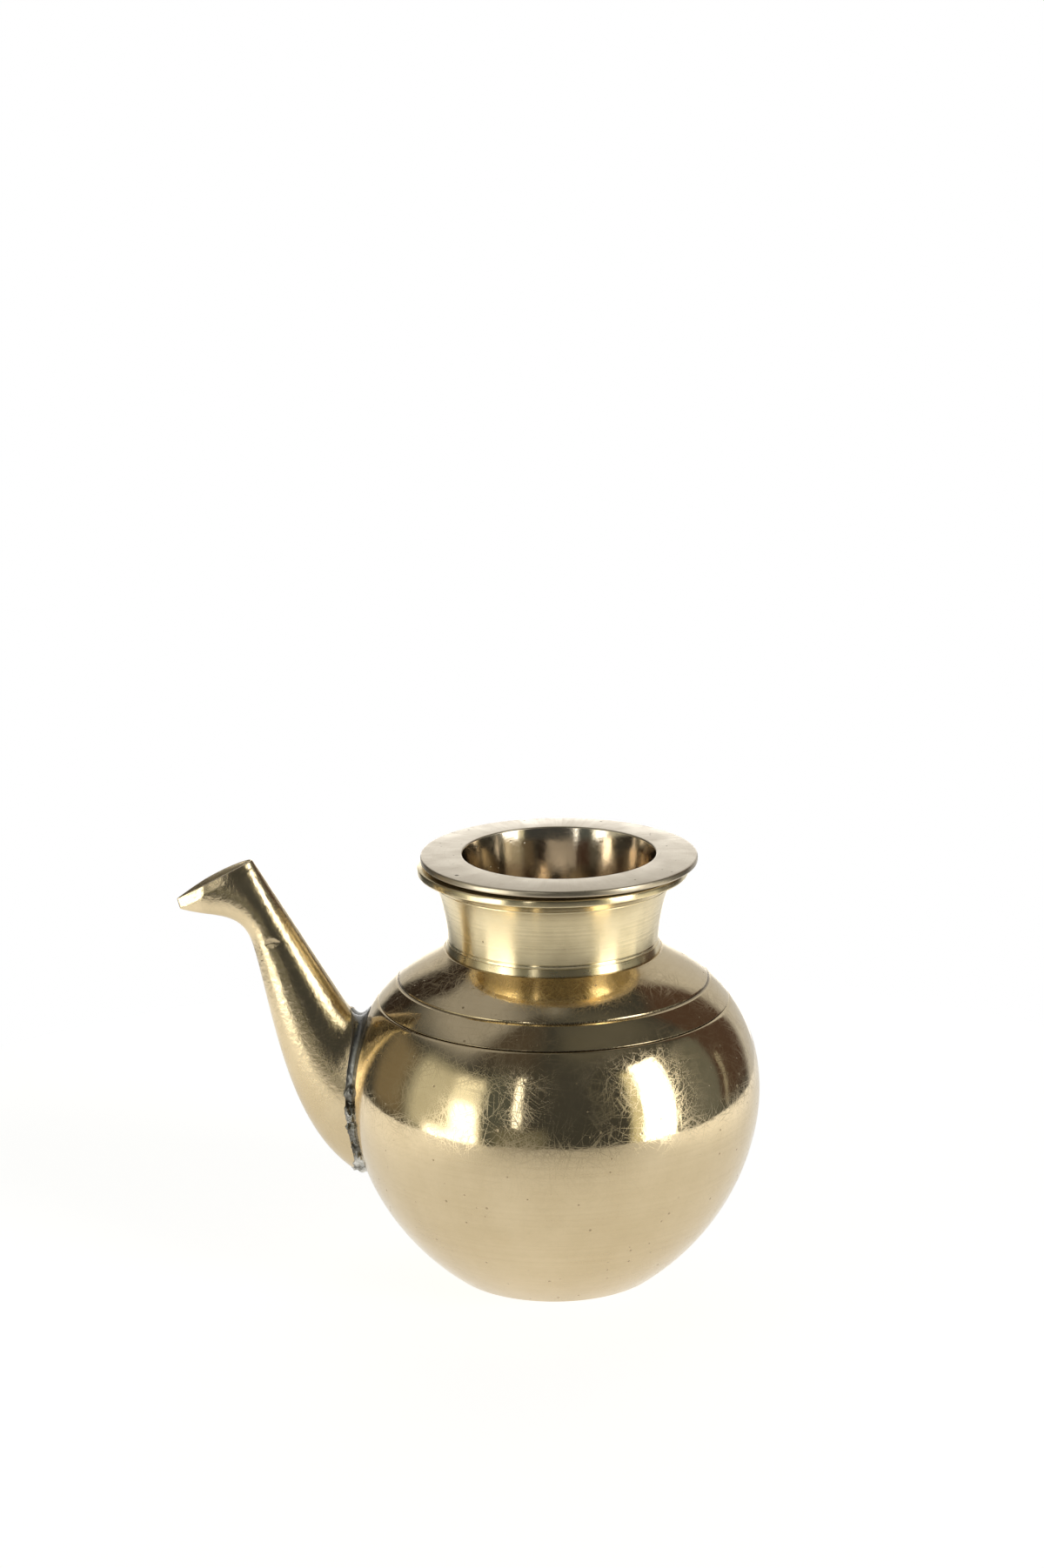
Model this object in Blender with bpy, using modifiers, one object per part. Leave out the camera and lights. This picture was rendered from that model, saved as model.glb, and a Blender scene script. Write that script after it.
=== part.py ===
"""Spouted lota: a turned brass water pot with a soldered spout and a lift-out mouth insert.

The belly is a bowl and a shoulder brazed together under an incised line. A neck with a flange is
brazed on the shoulder, a hollow spout is soldered over a hole in the belly, and a loose insert, a flat
ring with a tapered sleeve, hangs in the neck. Metres, +Z up. The origin is on the pot's axis at
its flat base, the spout points to -X, and Y = 0 is the mirror plane.
"""

import math

import bmesh
import bpy
import numpy as np
from mathutils import Matrix

MM = 0.001

# Gap left between pieces that touch, and how finely round shapes are cut
GAP = 0.3 * MM
TURNED_STEPS = 48
MERGE_DISTANCE = 0.02 * MM
SHARP_ANGLE = math.radians(35)

# Belly: an outline of two curves that meet at the widest height
BELLY_RADIUS = 70.0 * MM
WIDEST_HEIGHT = 63.4 * MM
BASE_RADIUS = 36.2 * MM
BASE_SLOPE = math.radians(37.5)
BASE_HANDLE = 36.2 * MM
LOWER_HANDLE = 12.7 * MM
UPPER_HANDLE = 35.2 * MM
SEAT_HANDLE = 7.6 * MM
SEAT_SLOPE = math.radians(33.0)
SHOULDER_RISE = 50.4 * MM
WALL = 2.0 * MM
BASE_THICKNESS = 3.0 * MM

# The brazed joint between bowl and shoulder, under the lower incised line
JOINT_RISE = 32.8 * MM
JOINT_CHAMFER = 0.35 * MM
LIP_LENGTH = 5.0 * MM
LIP_THICKNESS = 1.3 * MM
BRAZE_TIP = 0.5 * MM

# The upper incised line, above the joint
LINE_RISE = 7.1 * MM
LINE_WIDTH = 0.9 * MM
LINE_DEPTH = 0.4 * MM

# Neck: a flaring tube with a flange, standing on the shoulder's seat by a spigot
NECK_RADIUS = 35.6 * MM
NECK_HEIGHT = 26.3 * MM
NECK_STRAIGHT = 2.4 * MM
NECK_WALL = 2.4 * MM
NECK_LOW_HANDLE = 7.5 * MM
NECK_FLARE = 6.9 * MM
NECK_FLARE_HANDLE = (4.1 * MM, 3.1 * MM)
SPIGOT_WALL = 1.2 * MM
SPIGOT_LENGTH = 3.0 * MM
FLANGE_OVERHANG = 3.1 * MM
FLANGE_EDGE = 2.6 * MM
FLANGE_DISH = 0.9 * MM
FLANGE_EDGE_ROUND = 0.8 * MM
MOUTH_INSET = 4.9 * MM
MOUTH_ROUND = 0.8 * MM

# Brazed bead around the foot of the neck, and the strip of seat left outside it. The bead's outer
# side is given from its top down, as shares of its width and of its height
BEAD_WIDTH = 1.0 * MM
BEAD_HEIGHT = 2.6 * MM
BEAD_SIDE = ((0.35, 1.0), (0.9, 0.7), (1.0, 0.4), (0.8, 0.0))
SEAT_MARGIN = 0.1 * MM

# Mouth insert: a ring that rests on the flange, pushed to one side, and its tapered sleeve
INSERT_SHIFT = 2.1 * MM
RING_RADIUS = 46.5 * MM
RING_THICKNESS = 2.2 * MM
RING_CROWN = 0.5 * MM
RING_EDGE_ROUND = 0.7 * MM
HOLE_ROUND = 0.5 * MM
SLEEVE_WALL = 1.6 * MM
SLEEVE_LENGTH = 22.0 * MM
SLEEVE_TOP_CLEARANCE = 1.3 * MM
SLEEVE_FOOT_CLEARANCE = 0.3 * MM
SLEEVE_FILLET = 1.0 * MM

# Spout, side view: points as (reach outside the widest wall, rise over the widest height)
MOUTH_TIP = (56.3 * MM, 67.8 * MM)
MOUTH_BACK = (30.7 * MM, 81.2 * MM)
ROOT_TOP = (-0.9 * MM, 28.8 * MM)
ROOT_FOOT = (-1.1 * MM, -28.8 * MM)
BEAK_START = (55.4 * MM, 64.5 * MM)
BEAK_HANDLES = ((43.0 * MM, 61.5 * MM), (34.6 * MM, 64.3 * MM))
THROAT_START = (31.2 * MM, 51.6 * MM)
THROAT_HANDLES = ((25.2 * MM, 29.1 * MM), (21.3 * MM, -12.8 * MM))

# Spout, how its sections fan out: share of the back line reached at the lip and at the throat
LIP_SHARE = 0.03
THROAT_SHARE = 0.363
BEAK_FAN = 1.5
ROOT_FAN = 2.8

# Spout, half widths across the mirror plane, and walls
MOUTH_HALF_WIDTH = 4.8 * MM
LIP_HALF_WIDTH = 5.4 * MM
THROAT_HALF_WIDTH = 7.4 * MM
ROOT_HALF_WIDTH = 14.5 * MM
SPOUT_WALL = 1.6 * MM
MOUTH_WALL = 0.8 * MM

# Spout, the beak: how it narrows to the front, how square its sides are, and the wedge at its tip
BEAK_NARROWING = 0.12
BEAK_BOXINESS = 0.5
BEAK_WEDGE_LENGTH = 9.5 * MM
BEAK_WEDGE_CURVE = 1.5
BEAK_TIP_SHARE = 0.2

# Spout, how far the mouth's sides stand up from its middle line, and the root's sides off the belly
MOUTH_WRAP = 0.7 * MM
ROOT_STANDOFF = 1.6 * MM
BEAK_SECTIONS = 6
THROAT_SECTIONS = 10
SPOUT_STEPS = 28

# Water hole through the belly wall: its margins inside the spout's root
HOLE_SIDE_MARGIN = 4.9 * MM
HOLE_END_MARGIN = 7.2 * MM
CUTTER_STEPS = 32

# Solder collar between the spout's root and the belly
SOLDER_SPREAD = 0.9 * MM
SOLDER_TOP_PINCH = 3.0 * MM
SOLDER_FOOT_PINCH = 0.8 * MM
SOLDER_GAP = 1.5 * GAP

# Points along each curved stretch of a turned outline, and along the lines they are read from
OUTLINE_STEPS = 200
SEAM_STEPS = 40
BOWL_STEPS = 15
SHOULDER_STEPS = 4
NECK_STEPS = 7
ROUND_STEPS = 4

# Colours of the metals
BRASS = (0.72, 0.56, 0.29)
NECK_BRASS = (0.74, 0.60, 0.36)
INSERT_BRASS = (0.60, 0.53, 0.42)
BRAZE = (0.62, 0.49, 0.27)
SOLDER = (0.36, 0.35, 0.32)

# Heights and radii that follow from the sizes above
JOINT_HEIGHT = WIDEST_HEIGHT + JOINT_RISE
LINE_HEIGHT = JOINT_HEIGHT + LINE_RISE
SEAT_HEIGHT = WIDEST_HEIGHT + SHOULDER_RISE
SEAT_RADIUS = NECK_RADIUS + GAP + BEAD_WIDTH + SEAT_MARGIN
NECK_BORE = NECK_RADIUS - NECK_WALL
SPIGOT_RADIUS = NECK_BORE + SPIGOT_WALL
NECK_FOOT = SEAT_HEIGHT + GAP
FLANGE_UNDERSIDE = SEAT_HEIGHT + NECK_HEIGHT
FLANGE_EDGE_TOP = FLANGE_UNDERSIDE + FLANGE_EDGE
FLANGE_CREST = FLANGE_EDGE_TOP + FLANGE_DISH
FLARE_RADIUS = NECK_RADIUS + NECK_FLARE
FLANGE_RADIUS = FLARE_RADIUS + FLANGE_OVERHANG
MOUTH_RADIUS = FLARE_RADIUS - MOUTH_INSET
RING_UNDERSIDE = FLANGE_CREST + GAP
SLEEVE_TOP_RADIUS = MOUTH_RADIUS - INSERT_SHIFT - SLEEVE_TOP_CLEARANCE
SLEEVE_FOOT_RADIUS = NECK_BORE - INSERT_SHIFT - SLEEVE_FOOT_CLEARANCE
HOLE_RADIUS = SLEEVE_TOP_RADIUS - SLEEVE_WALL
ROOT_HALF_HEIGHT = (ROOT_TOP[1] - ROOT_FOOT[1]) / 2
ROOT_MIDDLE = WIDEST_HEIGHT + (ROOT_TOP[1] + ROOT_FOOT[1]) / 2
WATER_HALF_WIDTH = ROOT_HALF_WIDTH - SPOUT_WALL - HOLE_SIDE_MARGIN
WATER_HALF_HEIGHT = ROOT_HALF_HEIGHT - SPOUT_WALL - HOLE_END_MARGIN
SPOUT_ANGLES = np.arange(SPOUT_STEPS) * 2 * math.pi / SPOUT_STEPS


def clear_scene():
    """Remove every object that the scene starts with."""
    for thing in list(bpy.data.objects):
        bpy.data.objects.remove(thing, do_unlink=True)


def new_collection(name):
    """Add a collection to the scene."""
    collection = bpy.data.collections.new(name)
    bpy.context.scene.collection.children.link(collection)
    return collection


def metal(name, colour, roughness):
    """A plain metal material."""
    material = bpy.data.materials.new(name)
    material.use_nodes = True
    shader = material.node_tree.nodes["Principled BSDF"]
    shader.inputs["Base Color"].default_value = (*colour, 1.0)
    shader.inputs["Metallic"].default_value = 1.0
    shader.inputs["Roughness"].default_value = roughness
    return material


def bezier(start, handle_a, handle_b, end, count):
    """Evenly stepped points on a cubic curve, both ends included."""
    t = np.linspace(0.0, 1.0, count)[:, None]
    start, handle_a, handle_b, end = (np.array(p) for p in (start, handle_a, handle_b, end))
    rising = 3 * (1 - t) ** 2 * t * handle_a + 3 * (1 - t) * t ** 2 * handle_b
    return (1 - t) ** 3 * start + rising + t ** 3 * end


def arc(centre, radius, start_degrees, end_degrees, count=ROUND_STEPS):
    """Points of a circular arc in the (radius, height) plane."""
    angles = np.radians(np.linspace(start_degrees, end_degrees, count))
    return [(centre[0] + radius * math.cos(a), centre[1] + radius * math.sin(a)) for a in angles]


def belly_outline(count):
    """The belly's outer line from the base edge up to the neck seat, as (radius, height) rows."""
    base_handle = (
        BASE_RADIUS + BASE_HANDLE * math.cos(BASE_SLOPE),
        BASE_HANDLE * math.sin(BASE_SLOPE),
    )
    seat_handle = (
        SEAT_RADIUS + SEAT_HANDLE * math.cos(SEAT_SLOPE),
        SEAT_HEIGHT - SEAT_HANDLE * math.sin(SEAT_SLOPE),
    )
    widest = (BELLY_RADIUS, WIDEST_HEIGHT)
    lower_handle = (BELLY_RADIUS, WIDEST_HEIGHT - LOWER_HANDLE)
    upper_handle = (BELLY_RADIUS, WIDEST_HEIGHT + UPPER_HANDLE)
    lower = bezier((BASE_RADIUS, 0.0), base_handle, lower_handle, widest, count)
    upper = bezier(widest, upper_handle, seat_handle, (SEAT_RADIUS, SEAT_HEIGHT), count)
    return np.concatenate([lower, upper[1:]])


def inset(outline, distance):
    """An outline moved towards the axis side by a wall thickness, square to itself."""
    slope = np.gradient(outline, axis=0)
    normal = np.stack([-slope[:, 1], slope[:, 0]], axis=1)
    return outline + distance * normal / np.linalg.norm(normal, axis=1, keepdims=True)


OUTER_LINE = belly_outline(OUTLINE_STEPS)
INNER_LINE = inset(OUTER_LINE, WALL)


def radius_at(line, height):
    """Radius of a rising line at a height."""
    return float(np.interp(height, line[:, 1], line[:, 0]))


def stretch(line, low, high, count):
    """Points on a rising line at even steps along it between two heights."""
    inside = line[(line[:, 1] > low) & (line[:, 1] < high)]
    ends = [(radius_at(line, low), low), (radius_at(line, high), high)]
    dense = np.vstack([ends[0], inside, ends[1]])
    steps = np.linalg.norm(np.diff(dense, axis=0), axis=1)
    travelled = np.concatenate([[0.0], np.cumsum(steps)])
    places = np.linspace(0.0, travelled[-1], count)
    radii = np.interp(places, travelled, dense[:, 0])
    heights = np.interp(places, travelled, dense[:, 1])
    return list(zip(radii, heights))


def add_object(name, mesh, collection, material=None):
    """Put a mesh in a collection as a named object."""
    thing = bpy.data.objects.new(name, mesh)
    if material:
        mesh.materials.append(material)
    collection.objects.link(thing)
    return thing


def turned(name, outline, closed, collection, material):
    """A body of revolution about Z from an outline that runs down its outer side."""
    mesh = bpy.data.meshes.new(name)
    count = len(outline)
    edges = [(i, i + 1) for i in range(count - 1)]
    if closed:
        edges.append((count - 1, 0))
    mesh.from_pydata([(radius, 0.0, height) for radius, height in outline], edges, [])
    thing = add_object(name, mesh, collection, material)
    screw = thing.modifiers.new("turn", "SCREW")
    screw.axis = "Z"
    screw.steps = TURNED_STEPS
    screw.render_steps = TURNED_STEPS
    screw.use_merge_vertices = True
    screw.merge_threshold = MERGE_DISTANCE
    screw.use_smooth_shade = True
    return thing


def make_belly_bowl(collection, cutters, material):
    """The lower belly, from the flat base to the brazed joint, with the water hole."""
    rim = JOINT_HEIGHT - GAP / 2
    inner = stretch(INNER_LINE, BASE_THICKNESS, rim, BOWL_STEPS)
    outer = stretch(OUTER_LINE, 0.0, rim - JOINT_CHAMFER, BOWL_STEPS)
    chamfer = (radius_at(OUTER_LINE, rim) - JOINT_CHAMFER, rim)
    outline = [(0.0, BASE_THICKNESS)] + inner + [chamfer] + outer[::-1] + [(0.0, 0.0)]
    bowl = turned("belly_bowl", outline, False, collection, material)
    cut = bowl.modifiers.new("water hole", "BOOLEAN")
    cut.operation = "DIFFERENCE"
    cut.solver = "EXACT"
    cut.object = make_hole_cutter(cutters)
    return bowl


def make_hole_cutter(cutters):
    """An oval plug across the belly wall at the spout's root."""
    mesh = bpy.data.meshes.new("water_hole_cutter")
    body = bmesh.new()
    across_wall = Matrix.Rotation(math.radians(90), 4, "Y")
    bmesh.ops.create_cone(
        body, cap_ends=True, segments=CUTTER_STEPS, radius1=1.0, radius2=1.0, depth=BELLY_RADIUS / 2,
        matrix=across_wall,
    )
    bmesh.ops.scale(body, vec=(1.0, WATER_HALF_WIDTH, WATER_HALF_HEIGHT), verts=body.verts)
    body.to_mesh(mesh)
    body.free()
    cutter = add_object("water_hole_cutter", mesh, cutters)
    cutter.location = (-BELLY_RADIUS, 0.0, ROOT_MIDDLE)
    cutter.hide_render = True
    cutter.display_type = "WIRE"
    return cutter


def lip_radius():
    """Outer radius of the shoulder's lip, which enters the bowl's rim with a gap."""
    return radius_at(INNER_LINE, JOINT_HEIGHT) - GAP


def make_belly_shoulder(collection, material):
    """The upper belly: lip inside the bowl, upper incised line, and the neck's seat."""
    foot = JOINT_HEIGHT + GAP / 2
    lip = lip_radius()
    lip_end = JOINT_HEIGHT - LIP_LENGTH
    opening = SPIGOT_RADIUS + GAP
    inner_top = SEAT_HEIGHT - WALL
    half = LINE_WIDTH / 2
    chamfer = (radius_at(OUTER_LINE, foot) - JOINT_CHAMFER, foot)
    below = stretch(OUTER_LINE, foot + JOINT_CHAMFER, LINE_HEIGHT - half, SHOULDER_STEPS)
    above = stretch(OUTER_LINE, LINE_HEIGHT + half, SEAT_HEIGHT, SHOULDER_STEPS + 1)
    line_floor = (radius_at(OUTER_LINE, LINE_HEIGHT) - LINE_DEPTH, LINE_HEIGHT - LINE_DEPTH)
    outer = [chamfer] + below + [line_floor] + above
    start = JOINT_HEIGHT + LIP_THICKNESS
    inner = stretch(INNER_LINE, start, inner_top - WALL, SHOULDER_STEPS + 1)
    outline = [(opening, SEAT_HEIGHT)] + outer[::-1]
    outline += [(lip, foot), (lip, lip_end), (lip - LIP_THICKNESS, lip_end)]
    outline += inner + [(opening, inner_top)]
    return turned("belly_shoulder", outline, True, collection, material)


def make_belly_seam(collection, material):
    """The braze fillet in the wedge between the shoulder's lip and the bowl's wall."""
    low = JOINT_HEIGHT - LIP_LENGTH
    lip = lip_radius() + GAP
    heights = np.linspace(low, JOINT_HEIGHT, SEAM_STEPS)
    wall = np.array([radius_at(INNER_LINE, h) for h in heights]) - SOLDER_GAP
    top = float(heights[np.argmax(wall < lip + BRAZE_TIP)])
    outline = [
        (lip + BRAZE_TIP, top),
        (radius_at(INNER_LINE, low) - SOLDER_GAP, low),
        (lip, low),
        (lip, top),
    ]
    return turned("belly_seam", outline, True, collection, material)


def make_neck_collar(collection, material):
    """The neck: spigot, straight foot, flare, flange with a rounded edge, and bore."""
    flare_start = NECK_FOOT + NECK_STRAIGHT
    handle_a = (NECK_RADIUS, flare_start + NECK_LOW_HANDLE)
    handle_b = (FLARE_RADIUS - NECK_FLARE_HANDLE[0], FLANGE_UNDERSIDE - NECK_FLARE_HANDLE[1])
    flare_end = (FLARE_RADIUS, FLANGE_UNDERSIDE)
    flare = bezier((NECK_RADIUS, flare_start), handle_a, handle_b, flare_end, NECK_STEPS)
    mouth_low = FLANGE_CREST - MOUTH_ROUND
    bore = [tuple(p) for p in inset(flare, NECK_WALL) if p[0] < MOUTH_RADIUS and p[1] < mouth_low]

    edge = FLANGE_EDGE_ROUND
    edge_centre = FLANGE_RADIUS - edge
    outer = arc((edge_centre, FLANGE_EDGE_TOP - edge), edge, 90, 0)
    outer += arc((edge_centre, FLANGE_UNDERSIDE + edge), edge, 0, -90)
    outer += [tuple(p) for p in flare[::-1]]
    spigot_end = NECK_FOOT - SPIGOT_LENGTH
    outer += [(NECK_RADIUS, NECK_FOOT), (SPIGOT_RADIUS, NECK_FOOT), (SPIGOT_RADIUS, spigot_end)]
    rounding = arc((MOUTH_RADIUS + MOUTH_ROUND, mouth_low), MOUTH_ROUND, 180, 90)
    outline = outer + [(NECK_BORE, spigot_end)] + bore + rounding
    return turned("neck_collar", outline, True, collection, material)


def make_neck_seam(collection, material):
    """The brazed bead that runs around the neck's foot on the shoulder's seat."""
    inner = NECK_RADIUS + GAP
    outline = [(inner + BEAD_WIDTH * w, NECK_FOOT + BEAD_HEIGHT * h) for w, h in BEAD_SIDE]
    outline += [(inner, NECK_FOOT), (inner, NECK_FOOT + BEAD_HEIGHT)]
    return turned("neck_seam", outline, True, collection, material)


def make_mouth_insert(collection, material):
    """The loose insert: a crowned ring with rounded edges over a tapered open sleeve."""
    edge_top = RING_UNDERSIDE + RING_THICKNESS
    crown = edge_top + RING_CROWN
    edge = RING_EDGE_ROUND
    outer = [(HOLE_RADIUS + HOLE_ROUND, crown)]
    outer += arc((RING_RADIUS - edge, edge_top - edge), edge, 80, 0)
    outer += arc((RING_RADIUS - edge, RING_UNDERSIDE + edge), edge, 0, -90)
    fillet_centre = (SLEEVE_TOP_RADIUS + SLEEVE_FILLET, RING_UNDERSIDE - SLEEVE_FILLET)
    fillet = arc(fillet_centre, SLEEVE_FILLET, 90, 180)
    end = RING_UNDERSIDE - SLEEVE_LENGTH
    foot = [(SLEEVE_FOOT_RADIUS, end), (SLEEVE_FOOT_RADIUS - SLEEVE_WALL, end)]
    rounding = arc((HOLE_RADIUS + HOLE_ROUND, crown - HOLE_ROUND), HOLE_ROUND, 180, 90)
    outline = outer + fillet + foot + rounding[:-1]
    insert = turned("mouth_insert", outline, True, collection, material)
    insert.location = (INSERT_SHIFT, 0.0, 0.0)
    return insert


def place(point):
    """A side-view point of the spout as (x, z), from its reach and rise."""
    return (-(BELLY_RADIUS + point[0]), WIDEST_HEIGHT + point[1])


def spout_sections():
    """Side-view sections of the spout from mouth to root.

    Each row is (front x, front z, back x, back z, half width, wall, wrap, share of the beak's
    shaping, share of the root's fit). The front ends run along the beak's underside and the throat,
    the back ends along a straight line.
    """
    throat_start = place(THROAT_START)
    beak_handles = [place(handle) for handle in BEAK_HANDLES]
    throat_handles = [place(handle) for handle in THROAT_HANDLES]
    beak_t = np.linspace(0.0, 1.0, BEAK_SECTIONS)
    throat_t = np.linspace(0.0, 1.0, THROAT_SECTIONS)[1:]
    beak = bezier(place(BEAK_START), *beak_handles, throat_start, BEAK_SECTIONS)
    throat = bezier(throat_start, *throat_handles, place(ROOT_FOOT), THROAT_SECTIONS)[1:]
    front = np.vstack([place(MOUTH_TIP), beak, throat])
    beak_share = LIP_SHARE + (THROAT_SHARE - LIP_SHARE) * beak_t ** BEAK_FAN
    throat_share = THROAT_SHARE + (1.0 - THROAT_SHARE) * (1.0 - (1.0 - throat_t) ** ROOT_FAN)
    share = np.concatenate([[0.0], beak_share, throat_share])[:, None]
    back = np.array(place(MOUTH_BACK)) * (1.0 - share) + np.array(place(ROOT_TOP)) * share
    beak_width = LIP_HALF_WIDTH + (THROAT_HALF_WIDTH - LIP_HALF_WIDTH) * beak_t
    throat_width = THROAT_HALF_WIDTH + (ROOT_HALF_WIDTH - THROAT_HALF_WIDTH) * throat_t
    width = np.concatenate([[MOUTH_HALF_WIDTH], beak_width, throat_width])
    beak_shaping = np.concatenate([[1.0], 1.0 - beak_t, 0.0 * throat_t])
    wall = SPOUT_WALL + (MOUTH_WALL - SPOUT_WALL) * beak_shaping
    wrap = MOUTH_WRAP * beak_shaping ** 2
    root_share = np.concatenate([[0.0], 0.0 * beak_t, throat_t ** 4])
    return np.column_stack([front, back, width, wall, wrap, beak_shaping, root_share])


def beak_wedge(x):
    """Share of the full width at each x: a blunt tip that opens into a wedge and then stays full."""
    from_tip = np.clip((x - place(MOUTH_TIP)[0]) / BEAK_WEDGE_LENGTH, 0.0, 1.0)
    return BEAK_TIP_SHARE + (1.0 - BEAK_TIP_SHARE) * (1.0 - (1.0 - from_tip) ** BEAK_WEDGE_CURVE)


def section_loop(section, wall_share):
    """Points around one egg-shaped section, drawn in by a share of its wall."""
    front, back = section[0:2], section[2:4]
    half_width, wall, wrap, beak_shaping = section[4:8]
    wall = wall * wall_share
    centre = (front + back) / 2
    half = (front - back) / 2
    length = np.linalg.norm(half)
    towards_mouth = np.array((half[1], -half[0])) / length
    half = half * (1.0 - wall / length)
    along = np.cos(SPOUT_ANGLES)
    side = np.sin(SPOUT_ANGLES)
    raised = wrap * side ** 2
    x = centre[0] + half[0] * along + towards_mouth[0] * raised
    z = centre[1] + half[1] * along + towards_mouth[1] * raised
    squareness = BEAK_BOXINESS * beak_shaping * np.maximum(along, 0.0)
    boxy = np.sign(side) * np.abs(side) ** (1.0 - squareness)
    narrowed = 1.0 - BEAK_NARROWING * beak_shaping * along
    across = (half_width - wall) * boxy * narrowed * beak_wedge(x - wall)
    return np.column_stack([x, across, z])


def root_fit(root):
    """How far each point of the root moves along X so that its sides follow the belly."""
    loop = section_loop(root, 0.0)
    radii = np.array([radius_at(OUTER_LINE, z) for z in loop[:, 2]]) + ROOT_STANDOFF
    fitted = -np.sqrt(radii ** 2 - loop[:, 1] ** 2)
    return (fitted - loop[:, 0]) * np.abs(np.sin(SPOUT_ANGLES))


def spout_loops(wall_share):
    """Every loop of the spout from mouth to root, on its outside or drawn in by its wall."""
    sections = spout_sections()
    fit = root_fit(sections[-1])
    loops = []
    for section in sections:
        loop = section_loop(section, wall_share)
        loop[:, 0] += fit * section[8]
        loops.append(loop)
    return loops


def ring_body(name, loops, collection, material):
    """A closed ring-shaped body lofted through loops that follow each other around its section."""
    mesh = bpy.data.meshes.new(name)
    body = bmesh.new()
    rings = [[body.verts.new(point) for point in loop] for loop in loops]
    for ring, following in zip(rings, rings[1:] + rings[:1]):
        for i in range(len(ring)):
            j = (i + 1) % len(ring)
            body.faces.new((ring[i], ring[j], following[j], following[i]))
    bmesh.ops.recalc_face_normals(body, faces=body.faces)
    body.to_mesh(mesh)
    body.free()
    mesh.shade_smooth()
    mesh.set_sharp_from_angle(angle=SHARP_ANGLE)
    return add_object(name, mesh, collection, material)


def make_spout(collection, material):
    """The hollow spout, lofted from the beaked mouth to the root that wraps the belly."""
    outside = spout_loops(0.0)
    inside = spout_loops(1.0)
    return ring_body("spout", outside + inside[::-1], collection, material)


def on_belly(loop, spread):
    """A root loop widened by a distance and carried along X onto the belly, less the gap."""
    middle = loop.mean(axis=0)
    offset = loop - middle
    reach = np.linalg.norm(offset[:, 1:], axis=1, keepdims=True)
    widened = middle + offset * (1.0 + spread / reach)
    radii = np.array([radius_at(OUTER_LINE, z) for z in widened[:, 2]]) + SOLDER_GAP
    widened[:, 0] = -np.sqrt(radii ** 2 - widened[:, 1] ** 2)
    return widened


def make_spout_solder(collection, material):
    """The solder collar between the spout's root and the belly, pinched most at its top."""
    to_root = np.array((GAP, 0.0, 0.0))
    root_outer = spout_loops(0.0)[-1] + to_root
    root_inner = spout_loops(1.0)[-1] + to_root
    belly_outer = on_belly(root_outer, SOLDER_SPREAD)
    belly_inner = on_belly(root_inner, 0.0)
    waist_outer = (root_outer + belly_outer) / 2
    waist_inner = (root_inner + belly_inner) / 2
    inward = (waist_outer.mean(axis=0) - waist_outer) * np.array((0.0, 1.0, 1.0))
    inward /= np.linalg.norm(inward, axis=1, keepdims=True)
    depth = np.linalg.norm(belly_outer - root_outer, axis=1)
    top_share = np.clip((waist_outer[:, 2] - ROOT_MIDDLE) / ROOT_HALF_HEIGHT, 0.0, 1.0) ** 2
    pinch = SOLDER_FOOT_PINCH + (SOLDER_TOP_PINCH - SOLDER_FOOT_PINCH) * top_share
    drawn_in = inward * (pinch * depth / depth.max())[:, None]
    loops = [
        root_outer, waist_outer + drawn_in, belly_outer,
        belly_inner, waist_inner + drawn_in, root_inner,
    ]
    return ring_body("spout_solder", loops, collection, material)


def main():
    """Build every piece of the lota."""
    clear_scene()
    pieces = new_collection("spouted_lota")
    cutters = new_collection("spouted_lota_cutters")
    bowl_brass = metal("bowl_brass", BRASS, 0.18)
    shoulder_brass = metal("shoulder_brass", BRASS, 0.18)
    neck_brass = metal("neck_brass", NECK_BRASS, 0.26)
    insert_brass = metal("insert_brass", INSERT_BRASS, 0.42)
    spout_brass = metal("spout_brass", BRASS, 0.20)
    braze = metal("braze", BRAZE, 0.40)
    bead_braze = metal("bead_braze", BRAZE, 0.36)
    solder = metal("solder", SOLDER, 0.50)
    make_belly_bowl(pieces, cutters, bowl_brass)
    make_belly_shoulder(pieces, shoulder_brass)
    make_belly_seam(pieces, braze)
    make_neck_collar(pieces, neck_brass)
    make_neck_seam(pieces, bead_braze)
    make_mouth_insert(pieces, insert_brass)
    make_spout(pieces, spout_brass)
    make_spout_solder(pieces, solder)


main()
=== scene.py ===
import math

import bpy
import numpy as np
from mathutils import Matrix


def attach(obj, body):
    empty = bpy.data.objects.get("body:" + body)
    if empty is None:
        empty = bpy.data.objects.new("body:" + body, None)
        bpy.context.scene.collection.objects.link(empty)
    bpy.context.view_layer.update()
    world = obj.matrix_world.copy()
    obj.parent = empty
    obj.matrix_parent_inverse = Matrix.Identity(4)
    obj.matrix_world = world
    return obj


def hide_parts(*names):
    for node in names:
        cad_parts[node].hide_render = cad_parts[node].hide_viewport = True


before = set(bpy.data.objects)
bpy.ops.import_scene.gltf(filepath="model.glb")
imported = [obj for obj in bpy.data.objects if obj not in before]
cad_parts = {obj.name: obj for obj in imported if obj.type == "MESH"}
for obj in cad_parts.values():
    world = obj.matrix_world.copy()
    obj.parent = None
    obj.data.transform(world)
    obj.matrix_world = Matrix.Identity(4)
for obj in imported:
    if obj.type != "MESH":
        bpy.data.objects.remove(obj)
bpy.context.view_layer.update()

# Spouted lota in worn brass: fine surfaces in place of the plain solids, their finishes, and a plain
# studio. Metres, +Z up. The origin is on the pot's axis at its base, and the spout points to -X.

MM = 0.001
QUARTER_TURN = 0.25
FULL_TURN_DEGREES = 360.0
WHITE = (1.0, 1.0, 1.0)
MAP_NAME = "along_and_round"
# Where a colour mix node keeps its two colours and its result
MIX_COLOUR_INPUTS = (6, 7)
MIX_COLOUR_OUTPUT = 2

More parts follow.
